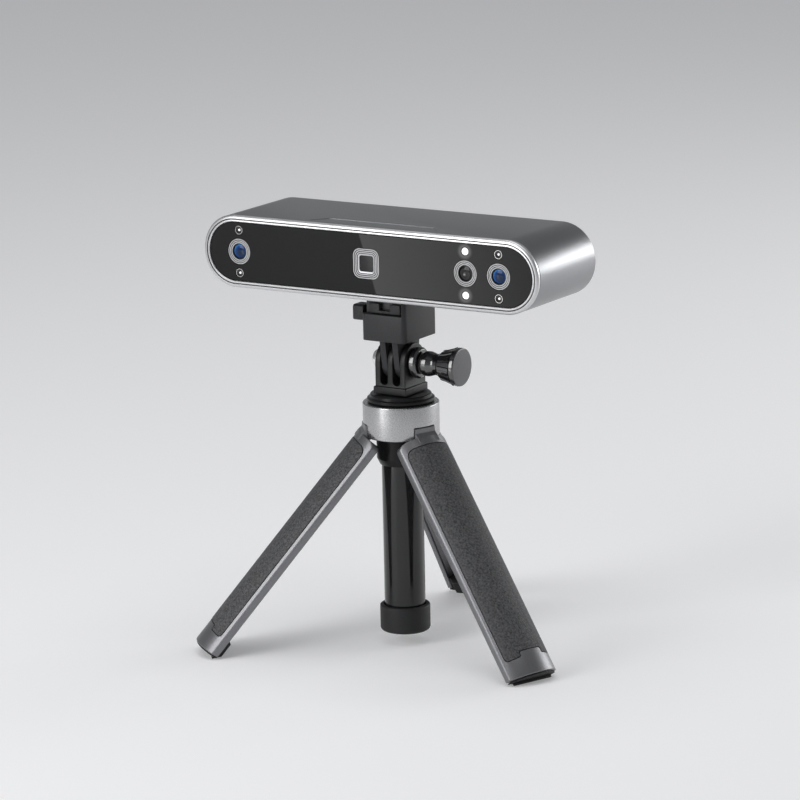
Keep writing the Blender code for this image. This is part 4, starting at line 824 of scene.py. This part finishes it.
# Start button: a round dished cap that travels half a millimetre into the rear cover.
# The status light beside it is the polished end of a clear guide that stands on the board.
BUTTON_RIM_THICKNESS = 0.0008
CAP_RADIUS = 0.0042
button_low, button_high = box_of("start_button")
button_axis = (button_low + button_high) / 2
button_flange = (button_high.x - button_low.x) / 2
button_length = button_high.y - button_low.y
cap_profile = rounded([(button_flange, 0), (button_flange, BUTTON_RIM_THICKNESS),
                       (CAP_RADIUS, BUTTON_RIM_THICKNESS), (CAP_RADIUS, button_length),
                       (CAP_RADIUS * 0.80, button_length), (CAP_RADIUS * 0.62, button_length - 0.00025),
                       (0.0002, button_length - 0.00035)],
                      [0, 0.0001, 0, 0.0004, 0.0003, 0.0004, 0], closed=False)
button_cap = turned(cap_profile, (button_axis.x, button_low.y, button_axis.z), TO_REAR)
button_satin = surface("button_satin", (0.05, 0.05, 0.053), 0.32)
fitted("button_cap", button_cap, button_satin, "start_button", "black_plastic", "start_button")
guide_low, guide_high = box_of("status_light_guide")
guide_axis = (guide_low + guide_high) / 2
guide_radius = (guide_high.x - guide_low.x) / 2
guide_length = guide_high.y - guide_low.y
guide_profile = rounded([(guide_radius, 0), (guide_radius, guide_length), (guide_radius * 0.1, guide_length)],
                        0.0003, closed=False)
guide = turned(guide_profile, (guide_axis.x, guide_low.y, guide_axis.z), TO_REAR, 48)
milky_guide = surface("milky_guide", (0.72, 0.74, 0.74), 0.25)
fitted("light_guide", guide, milky_guide, "scanner", "lamp_white", "status_light_guide")

# Shoe: a black moulded block drawn up under the scanner by a quarter inch screw in a brass insert.
# Insert and screw are hidden once the clip is on.
SHOE_EASE = 0.0004
THREAD_EASE = 0.0002
eased("shoe", "mount_shoe", SHOE_EASE, black_plastic, "scanner", "black_plastic")
brass = surface("brass", (0.70, 0.50, 0.22), 0.30, 1.0)
for node, look, slot_name in (("tripod_insert", brass, "brass"), ("shoe_screw", chrome, "chrome")):
    eased(node + "_turned", node, THREAD_EASE, look, "scanner", slot_name, sharper_than=50)

# Release buckle: a black moulded clip that slides over the shoe, with two prongs below for the fork.
# A latch with two tabs springs up in the gap over its front wall; a button on the left frees it.
BUCKLE_EASE = 0.0005
LATCH_EASE = 0.0003
clip_plastic = surface("clip_plastic", (0.033, 0.033, 0.035), 0.40, grain=1500, mottle=0.10, bump=0.08,
                       bump_scale=6000, ior=1.33)
eased("buckle", "release_buckle", BUCKLE_EASE, clip_plastic, "scanner", "black_plastic")
eased("latch", "latch_clip", LATCH_EASE, clip_plastic, "scanner", "black_plastic")
eased("release_key", "release_button", BUCKLE_EASE, clip_plastic, "release_button", "black_plastic")

# Tilt fork: a black moulded foot with three rounded prongs, screwed to the rod head by a stud.
# A chrome cap nut on the left takes the end of the thumbscrew's bolt.
FORK_EASE = 0.0003
NUT_BORE = 0.0027
NUT_DIMPLE = 0.0011
fork_plastic = surface("fork_plastic", (0.011, 0.011, 0.012), 0.38, grain=1500, mottle=0.10, ior=1.36)
eased("fork", "tilt_fork", FORK_EASE, fork_plastic, "pan_head", "black_plastic")
nut_low, nut_high = box_of("cap_nut")
tilt = centre("clamp_washer")
nut_length = nut_high.x - nut_low.x
nut_radius = (nut_high.z - nut_low.z) / 2
nut_profile = rounded([(NUT_BORE, 0), (nut_radius, 0), (nut_radius, nut_length * 0.45),
                       (nut_radius * 0.86, nut_length * 0.5), (nut_radius * 0.80, nut_length * 0.85),
                       (nut_radius * 0.40, nut_length), (NUT_DIMPLE, nut_length),
                       (NUT_DIMPLE, nut_length * 0.75), (NUT_BORE, nut_length * 0.7)],
                      [0, 0.0003, 0.0003, 0, 0.0010, 0.0010, 0, 0, 0])
nut = turned(nut_profile, (nut_high.x, tilt.y, tilt.z), TO_LEFT, 64, hollow=True)
fitted("dome_nut", nut, chrome, "pan_head", "chrome", "cap_nut")
eased("stud", "quarter_inch_stud", FORK_EASE, chrome, "pan_head", "chrome")

# Thumbscrew: a gloss black knob on a steel bolt, with a round waist and a fluted flare.
# A loose black washer bears on the fork; the flutes are ribs set round the flare by a node tree.
BOLT_RADIUS = 0.0023
WASHER_BORE = 0.0027
KNOB_LENGTH = 0.0178
KNOB_SPAN = 0.0192               # of the CAD knob, whose waist is longer
NECK_RADIUS = 0.0046
END_RADIUS = 0.0076
RIB_COUNT = 12
RIB_HALF = 0.00085
knob_black = surface("knob_black", (0.010, 0.010, 0.011), 0.14, grain=800, mottle=0.10, ior=2.0)
end_grey = surface("end_disc_grey", (0.11, 0.11, 0.115), 0.34, grain=1500)
washer_low, washer_high = box_of("clamp_washer")
washer_radius = (washer_high.z - washer_low.z) / 2
washer_length = washer_high.x - washer_low.x
washer_profile = rounded([(WASHER_BORE, 0), (washer_radius * 0.94, 0), (washer_radius, washer_length * 0.2),
                          (washer_radius, washer_length * 0.75), (washer_radius * 0.88, washer_length),
                          (WASHER_BORE, washer_length)], 0.0004)
washer = turned(washer_profile, (washer_low.x, tilt.y, tilt.z), TO_RIGHT, hollow=True)
fitted("washer", washer, knob_black, "clamp_washer", "black_plastic", "clamp_washer")
knob_low, knob_high = box_of("thumbscrew")
knob_start = knob_high.x - KNOB_SPAN - knob_low.x
end_x = knob_start + KNOB_LENGTH
stations = [(BOLT_RADIUS * 0.7, 0), (BOLT_RADIUS, 0.0005), (BOLT_RADIUS, knob_start)]
for radius, along in ((NECK_RADIUS * 0.95, 0), (NECK_RADIUS * 1.08, 0.10), (NECK_RADIUS * 1.08, 0.20),
                      (NECK_RADIUS * 0.90, 0.36), (NECK_RADIUS * 1.02, 0.47), (END_RADIUS * 0.74, 0.53),
                      (END_RADIUS * 0.79, 0.66), (END_RADIUS * 0.92, 0.84), (END_RADIUS, 0.90),
                      (END_RADIUS, 1), (END_RADIUS * 0.1, 1)):
    stations.append((radius, knob_start + KNOB_LENGTH * along))
knob_bends = [0, 0, 0, 0.0003, 0.0014, 0.0014, 0.0030, 0.0006, 0.0006, 0.0030, 0.0020, 0.0006, 0.0005, 0]
knob_profile = rounded(stations, knob_bends, closed=False, steps=7)
knob = turned(knob_profile, (knob_low.x, tilt.y, tilt.z), TO_RIGHT, 128)
for face in knob.faces:
    middle = face.calc_center_median()
    face.material_index = 1 if middle.x > knob_low.x + end_x - 0.00002 else 0
fitted("knob", knob, [knob_black, end_grey], "thumbscrew", "gloss_black", "thumbscrew")


def ring_of_parts(name, count, pattern, look, place):
    """Sets copies of a part round an upright axis with a node tree, turned outward, as one mesh."""
    tree = bpy.data.node_groups.new(name + "_ring", "GeometryNodeTree")
    tree.interface.new_socket("Start", in_out="INPUT", socket_type="NodeSocketGeometry")
    count_socket = tree.interface.new_socket("Count", in_out="INPUT", socket_type="NodeSocketInt")
    part_socket = tree.interface.new_socket("Part", in_out="INPUT", socket_type="NodeSocketObject")
    look_socket = tree.interface.new_socket("Finish", in_out="INPUT", socket_type="NodeSocketMaterial")
    tree.interface.new_socket("Parts", in_out="OUTPUT", socket_type="NodeSocketGeometry")
    given = tree.nodes.new("NodeGroupInput")
    result = tree.nodes.new("NodeGroupOutput")
    ring = tree.nodes.new("GeometryNodeMeshCircle")
    ring.inputs["Radius"].default_value = 0.000001
    part = tree.nodes.new("GeometryNodeObjectInfo")
    number = tree.nodes.new("GeometryNodeInputIndex")
    share = tree.nodes.new("ShaderNodeMath")
    share.operation = "DIVIDE"
    turn = tree.nodes.new("ShaderNodeMath")
    turn.operation = "MULTIPLY"
    turn.inputs[1].default_value = 2 * math.pi
    facing = tree.nodes.new("ShaderNodeCombineXYZ")
    copies = tree.nodes.new("GeometryNodeInstanceOnPoints")
    solid = tree.nodes.new("GeometryNodeRealizeInstances")
    paint = tree.nodes.new("GeometryNodeSetMaterial")
    wire(tree, (given.outputs["Count"], ring.inputs["Vertices"]),
         (given.outputs["Part"], part.inputs["Object"]), (number.outputs["Index"], share.inputs[0]),
         (given.outputs["Count"], share.inputs[1]), (share.outputs["Value"], turn.inputs[0]),
         (turn.outputs["Value"], facing.inputs["Z"]), (ring.outputs["Mesh"], copies.inputs["Points"]),
         (part.outputs["Geometry"], copies.inputs["Instance"]),
         (facing.outputs["Vector"], copies.inputs["Rotation"]),
         (copies.outputs["Instances"], solid.inputs["Geometry"]),
         (solid.outputs["Geometry"], paint.inputs["Geometry"]),
         (given.outputs["Finish"], paint.inputs["Material"]),
         (paint.outputs["Geometry"], result.inputs["Parts"]))
    settings = [(count_socket, count), (part_socket, pattern), (look_socket, look)]
    finished = grown(as_object(name, bmesh.new()), tree, pattern, settings)
    finished.transform(place)
    return finished


rib_section = [(-0.0008, -1), (-0.00002, -1), (0.00034, -0.72), (0.00042, 0), (0.00034, 0.72), (-0.00002, 1),
               (-0.0008, 1)]
rib_loops = []
for share, along in ((0.755, 0.555), (0.80, 0.66), (0.925, 0.835), (0.985, 0.885)):
    height = knob_start + KNOB_LENGTH * along
    rib_loops.append([(END_RADIUS * share + rise, side * RIB_HALF, height) for rise, side in rib_section])
ribs = ring_of_parts("knob_ribs", RIB_COUNT, as_object("rib", loft(rib_loops)), knob_black,
                     Matrix.Translation((knob_low.x, tilt.y, tilt.z)) @ TO_RIGHT)
mounted(in_scene("knob_ribs", ribs), "thumbscrew", "gloss_black", "thumbscrew")

# Rod head: a stepped black turning on top of the upper rod, which carries the fork and its stud.
# Its spigot is fixed in the rod; the upper and lower rods nest in the column and pull out.
ROD_HEAD_RADIUS = 0.0134
ROD_HEAD_HEIGHT = 0.0032
SPIGOT_INSET = 0.0014           # of the spigot from the upper rod's outside
STUD_BORE = 0.0033
ROD_WALL = 0.0010
rod_low, rod_high = box_of("rod_head")
upper_low, upper_high = box_of("upper_rod")
spigot = (upper_high.x - upper_low.x) / 2 - SPIGOT_INSET
rod_bottom = rod_high.z - ROD_HEAD_HEIGHT
rod_profile = [(spigot, rod_low.z), (spigot, rod_bottom)]
for inset, rise in ((0.0004, 0), (0, 0.0004), (0, 0.0014), (0.0006, 0.0017), (0.0011, 0.0018)):
    rod_profile.append((ROD_HEAD_RADIUS - inset, rod_bottom + rise))
rod_profile += [(ROD_HEAD_RADIUS - 0.0012, rod_high.z - 0.0004), (ROD_HEAD_RADIUS - 0.0016, rod_high.z),
                (STUD_BORE, rod_high.z), (STUD_BORE, rod_low.z)]
rod_head = turned(rounded(rod_profile, 0.00025), (axis.x, axis.y, 0), sides=128, hollow=True)
satin_black = surface("satin_black", (0.008, 0.008, 0.009), 0.30, grain=900, mottle=0.10, ior=1.3)
fitted("rod_cap", rod_head, satin_black, "pan_head", "black_plastic", "rod_head")
gloss_black = surface("gloss_black", (0.010, 0.010, 0.011), 0.12, grain=800, mottle=0.10)


def open_tube(node, wall, sides=96):
    """A CAD tube's own length and outside, with a wall and eased ends."""
    low, high = box_of(node)
    outer = (high.x - low.x) / 2
    profile = [(outer, low.z), (outer, high.z), (outer - wall, high.z), (outer - wall, low.z)]
    return turned(rounded(profile, 0.0002), (axis.x, axis.y, 0), sides=sides, hollow=True)


for node in ("upper_rod", "lower_rod"):
    fitted(node + "_tube", open_tube(node, ROD_WALL), gloss_black, node, "gloss_black_metal", node)

# Collar: a turned aluminium ring in the legs' grey, slotted below for the three leg tongues.
# A steel pin crosses each slot; the column tube passes through the ring's bore.
COLLAR_BEVEL = 0.0005
COLLAR_BORE = 0.00845
TONGUE_HALF = 0.0048
TONGUE_RADIUS = 0.0021
PIN_HALF = 0.0074
PIN_RADIUS = 0.00085
SLOT_GAP = 0.0003
SLOT_REACH = 0.02               # well past the collar, below and outside
LEGS = ("right", "rear", "left")
collar_low, collar_high = box_of("collar")
collar_radius = (collar_high.x - collar_low.x) / 2
collar_profile = rounded([(collar_radius, collar_low.z), (collar_radius, collar_high.z),
                          (COLLAR_BORE, collar_high.z), (COLLAR_BORE, collar_low.z)], COLLAR_BEVEL)
collar = turned(collar_profile, (axis.x, axis.y, 0), sides=144, hollow=True)
hinges = {name: centre("hinge_pin_" + name) for name in LEGS}
HINGE_RADIUS = math.hypot(hinges["right"].x - axis.x, hinges["right"].y - axis.y)


def at_hinge(name):
    """The place of a leg's hinge, turned so that y points away from the column."""
    hinge = hinges[name]
    outward = math.atan2(hinge.y - axis.y, hinge.x - axis.x)
    return Matrix.Translation(hinge) @ Matrix.Rotation(outward - math.pi / 2, 4, "Z")


slot_half = TONGUE_HALF + SLOT_GAP
slot_top = TONGUE_RADIUS + 0.0004
slot_inner = -HINGE_RADIUS + COLLAR_BORE + 0.0006
slot_outline = rounded([(-slot_half, -SLOT_REACH), (-slot_half, slot_top), (slot_half, slot_top),
                        (slot_half, -SLOT_REACH)], [0, 0.0006, 0.0006, 0])
for name in LEGS:
    slot = loft([[(x, y, z) for x, z in slot_outline] for y in (slot_inner, SLOT_REACH)])
    slot.transform(at_hinge(name))
    collar = carved(collar, slot)
collar_metal = surface("collar_metal", (0.43, 0.43, 0.435), 0.27, 0.95, grain=2200, mottle=0.05)
fitted("collar_ring", collar, collar_metal, "column", "grey_aluminium", "collar")
pin_profile = rounded([(PIN_RADIUS * 0.2, -PIN_HALF), (PIN_RADIUS, -PIN_HALF), (PIN_RADIUS, PIN_HALF),
                       (PIN_RADIUS * 0.2, PIN_HALF)], 0.0002, closed=False)
for name in LEGS:
    pin = turned(pin_profile, (0, 0, 0), at_hinge(name) @ TO_RIGHT, 48)
    fitted("hinge_pin_" + name + "_steel", pin, dark_steel, "column", "chrome", "hinge_pin_" + name)

# Column: a gloss black drawn tube in a short bush under the collar, closed by a rubber foot.
# The bush tapers into the tube, and the foot has a rolled lip at its top edge.
BUSH_TAPER = 0.0025
TUBE_WALL = 0.0011
FOOT_LIP = 0.0012
FOOT_ROUND = 0.0016
FOOT_FLOOR = 0.0029
bush_low, bush_high = box_of("neck_bush")
bush_radius = (bush_high.x - bush_low.x) / 2
bush_profile = rounded([(COLLAR_BORE, bush_low.z), (COLLAR_BORE + 0.0004, bush_low.z),
                        (bush_radius, bush_low.z + BUSH_TAPER), (bush_radius, bush_high.z),
                        (COLLAR_BORE, bush_high.z)], [0, 0.0002, 0.0010, 0.0003, 0])
bush = turned(bush_profile, (axis.x, axis.y, 0), hollow=True)
fitted("bush", bush, satin_black, "column", "black_plastic", "neck_bush")
tube = open_tube("column_tube", TUBE_WALL, 128)
fitted("drawn_tube", tube, gloss_black, "column", "gloss_black_metal", "column_tube")
foot_low, foot_high = box_of("column_foot")
foot_radius = (foot_high.x - foot_low.x) / 2
foot_floor = foot_low.z + FOOT_FLOOR
foot_profile = rounded([(foot_radius * 0.3, foot_low.z), (foot_radius, foot_low.z),
                        (foot_radius, foot_high.z), (COLLAR_BORE, foot_high.z), (COLLAR_BORE, foot_floor),
                        (COLLAR_BORE / 2, foot_floor)],
                       [0, FOOT_ROUND, FOOT_LIP, 0.0002, 0, 0], closed=False, steps=8)
foot_rubber = surface("foot_rubber", (0.018, 0.018, 0.019), 0.55, grain=1800, mottle=0.12, bump=0.10,
                      bump_scale=5000, ior=1.38)
column_cap = turned(foot_profile, (axis.x, axis.y, 0), sides=128)
fitted("column_cap", column_cap, foot_rubber, "column", "foot_rubber", "column_foot")

# Legs: die-cast channels in satin grey, curved outside so that the three close round the column.
# Each hangs by a tongue on its pin, with a rubber grip let into its face and a rubber foot in its end.
LEG_SPREAD = math.radians(39.4)
LEG_LENGTH = 0.1085             # from the hinge to the end of the side walls
END_SLOPE = math.tan(math.radians(8.0))
LEG_TOP = 0.0038
LEG_HALF = 0.0117
LEG_WALL = 0.0020
LEG_SKIN = 0.0026
LEG_EDGE = -0.0049              # edges of the side walls, from the hinge towards the column
SHOULDER = 0.0015
TOP_ROUND = 0.0022
END_EASE = 0.0005
PAD_HALF = 0.0105
PAD_TOP = 0.0074
PAD_BOTTOM = 0.1016
PAD_THICKNESS = 0.0011
PAD_PROUD = 0.00012
PAD_CORNER = 0.0034
PAD_GAP = 0.00028
NOTCH_HALF = 0.0053
NOTCH_DEPTH = 0.0022
FOOT_HEEL = 0.0022
SOLE_HALF = 0.0095
HEEL_TAPER = 0.7                # the heels draw in, to clear each other when folded
FOOT_PLUG = 0.0070
FOOT_GAP = 0.0002               # between the rubber plug and the leg's inside and end
HEEL_FRONT = 0.0012             # of the heel, from the edges of the side walls
leg_metal = surface("leg_metal", (0.22, 0.22, 0.23), 0.40, 0.85, grain=2200, mottle=0.06, bump=0.06,
                    bump_scale=9000)


def on_arc(radius, x):
    """A point of a leg's section on an arc round the folded column's axis."""
    return (x, math.sqrt(radius ** 2 - x ** 2) - HINGE_RADIUS)


def leg_section(z, draw_in=0.0, narrow=0.0):
    """A leg's cross-section: a curved skin with two side walls, open towards the column."""
    radius = collar_radius - draw_in
    half = LEG_HALF - draw_in - narrow
    inner_half = half - LEG_WALL + draw_in
    crown = [on_arc(radius, (half - SHOULDER) * (i / 12 - 1)) for i in range(25)]
    hollow = [on_arc(collar_radius - LEG_SKIN, inner_half * (1 - i / 12)) for i in range(25)]
    corner = on_arc(radius, half)
    wall_low = LEG_EDGE + draw_in
    points = [(-half, wall_low), (-half, corner[1]), *crown, corner, (half, wall_low), (inner_half, wall_low),
              *hollow, (-inner_half, wall_low)]
    bends = [0.0004, 0.0016] + [0.0] * 25 + [0.0016, 0.0004, 0.0003] + [0.0] * 25 + [0.0003]
    return [(x, y, z) for x, y in rounded(points, bends)]


def pad_outline(grow):
    """The grip pad's outline laid flat, with its stepped lower end."""
    half = collar_radius * math.asin(PAD_HALF / collar_radius) + grow
    low = -PAD_BOTTOM - grow
    step = low + NOTCH_DEPTH
    notch = NOTCH_HALF - grow
    top = -PAD_TOP + grow
    points = [(-half, top), (-half, low), (-notch, low), (-notch, step), (notch, step), (notch, low),
              (half, low), (half, top)]
    return rounded(points, [PAD_CORNER, 0.0016, 0.0008, 0.0008, 0.0008, 0.0008, 0.0016, PAD_CORNER])


def bent_plate(outline, inner, outer, edge):
    """A flat plate with eased outer edges, bent round the folded leg's axis."""
    shape = loft([[(u, n, v) for u, v in outline] for n in (inner, outer)])
    if edge:
        rim_edges = [e for e in shape.edges if all(v.co.y > (inner + outer) / 2 for v in e.verts)]
        bmesh.ops.bevel(shape, geom=rim_edges, offset=edge, offset_type="OFFSET", segments=2, profile=0.5,
                        affect="EDGES", clamp_overlap=True)
    for step in range(-13, 14):
        parts = shape.verts[:] + shape.edges[:] + shape.faces[:]
        bmesh.ops.bisect_plane(shape, geom=parts, plane_co=(step * 0.0008, 0, 0), plane_no=(1, 0, 0),
                               dist=1e-7)
    for vertex in shape.verts:
        turn = vertex.co.x / collar_radius
        radius = vertex.co.y
        vertex.co.x = radius * math.sin(turn)
        vertex.co.y = radius * math.cos(turn) - HINGE_RADIUS
    bmesh.ops.recalc_face_normals(shape, faces=shape.faces)
    return shape


pad_rubber = surface("grip_rubber", (0.068, 0.068, 0.071), 0.66, grain=1400, mottle=0.70, bump=0.90,
                     bump_scale=1400)
tongue_profile = rounded([(-0.0019, -0.0006), (-0.0019, TONGUE_RADIUS), (0.0032, TONGUE_RADIUS),
                          (0.0034, 0.0002), (0.0048, -0.0010), (0.0064, -0.0030), (0.0050, -0.0049),
                          (-0.0006, -0.0026)],
                         [0.0006, 0.0019, 0.0003, 0.0008, 0.0010, 0.0002, 0.0002, 0.0004])


def foot_outline(draw_in, wall, level):
    """A foot's outline inside the leg's own, at the height that level gives for each point."""
    half = LEG_HALF - wall
    arc = [on_arc(collar_radius - draw_in, half * (i / 12 - 1)) for i in range(25)]
    return [(x, y, level(y)) for x, y in [(-half, LEG_EDGE), *arc, (half, LEG_EDGE)]]


def end_level(y):
    """The height of the leg's cut end."""
    return -LEG_LENGTH - END_SLOPE * (y - LEG_EDGE)


def floor_level(y):
    """The height of the floor, along a standing leg."""
    return -(hinges["right"].z + y * math.sin(LEG_SPREAD)) / math.cos(LEG_SPREAD)


plug = (LEG_SKIN + FOOT_GAP, LEG_WALL + FOOT_GAP)
heel_front = LEG_EDGE + HEEL_FRONT
heel_back = LEG_EDGE - FOOT_HEEL
heel_top = -LEG_LENGTH + FOOT_PLUG
heel_outline = rounded([(heel_back, heel_top), (heel_back, floor_level(heel_back)),
                        (heel_front, floor_level(heel_front)), (heel_front, heel_top)],
                       [0.0008, 0.0003, 0.0003, 0])
for name in LEGS:
    stance = at_hinge(name) @ Matrix.Rotation(LEG_SPREAD, 4, "X")
    stations = []
    for step in range(9):
        rise = TOP_ROUND * (1 - math.cos(math.pi / 2 * step / 8))
        narrow = TOP_ROUND * (1 - math.sin(math.pi / 2 * step / 8))
        stations.append(leg_section(-LEG_TOP - rise, narrow=narrow))
    for step in range(5):
        angle = math.pi / 2 * step / 4
        end = leg_section(-LEG_LENGTH + END_EASE * (1 - math.sin(angle)), END_EASE * (1 - math.cos(angle)))
        stations.append([(x, y, z - END_SLOPE * (y - LEG_EDGE)) for x, y, z in end])
    shell = loft(stations)
    leg_tongue = loft([[(x, y, z) for y, z in tongue_profile] for x in (-TONGUE_HALF, TONGUE_HALF)])
    leg_tongue.transform(Matrix.Rotation(-LEG_SPREAD, 4, "X"))
    shell = carved(shell, leg_tongue, "UNION")
    recess = bent_plate(pad_outline(PAD_GAP), collar_radius - PAD_THICKNESS, collar_radius + 0.003, 0)
    shell = carved(shell, recess)
    shell.transform(stance)
    body = name + "_leg"
    fitted(body + "_channel", shell, leg_metal, body, "leg_grey", body + "_shell")
    pad_inside = collar_radius - PAD_THICKNESS + 0.0002
    pad = bent_plate(pad_outline(0.0), pad_inside, collar_radius + PAD_PROUD, 0.0003)
    pad.transform(stance)
    fitted(body + "_grip", pad, pad_rubber, body, "grip_rubber", body + "_pad")
    rubber = loft([foot_outline(*plug, lambda y: heel_top),
                   foot_outline(*plug, lambda y: end_level(y) - FOOT_GAP),
                   foot_outline(0.0008, 0.0008, lambda y: end_level(y) - FOOT_GAP),
                   foot_outline(0.0008, 0.0008, lambda y: end_level(y) - 0.0005),
                   foot_outline(0.0011, 0.0011, lambda y: end_level(y) - 0.0007)])
    heel = loft([[(side * (SOLE_HALF - HEEL_TAPER * (heel_front - y)), y, z) for y, z in heel_outline]
                 for side in (-1, 1)])
    rubber = carved(rubber, heel, "UNION")
    rubber.transform(stance)
    fitted(body + "_rubber_foot", rubber, foot_rubber, body, "foot_rubber", body + "_foot")
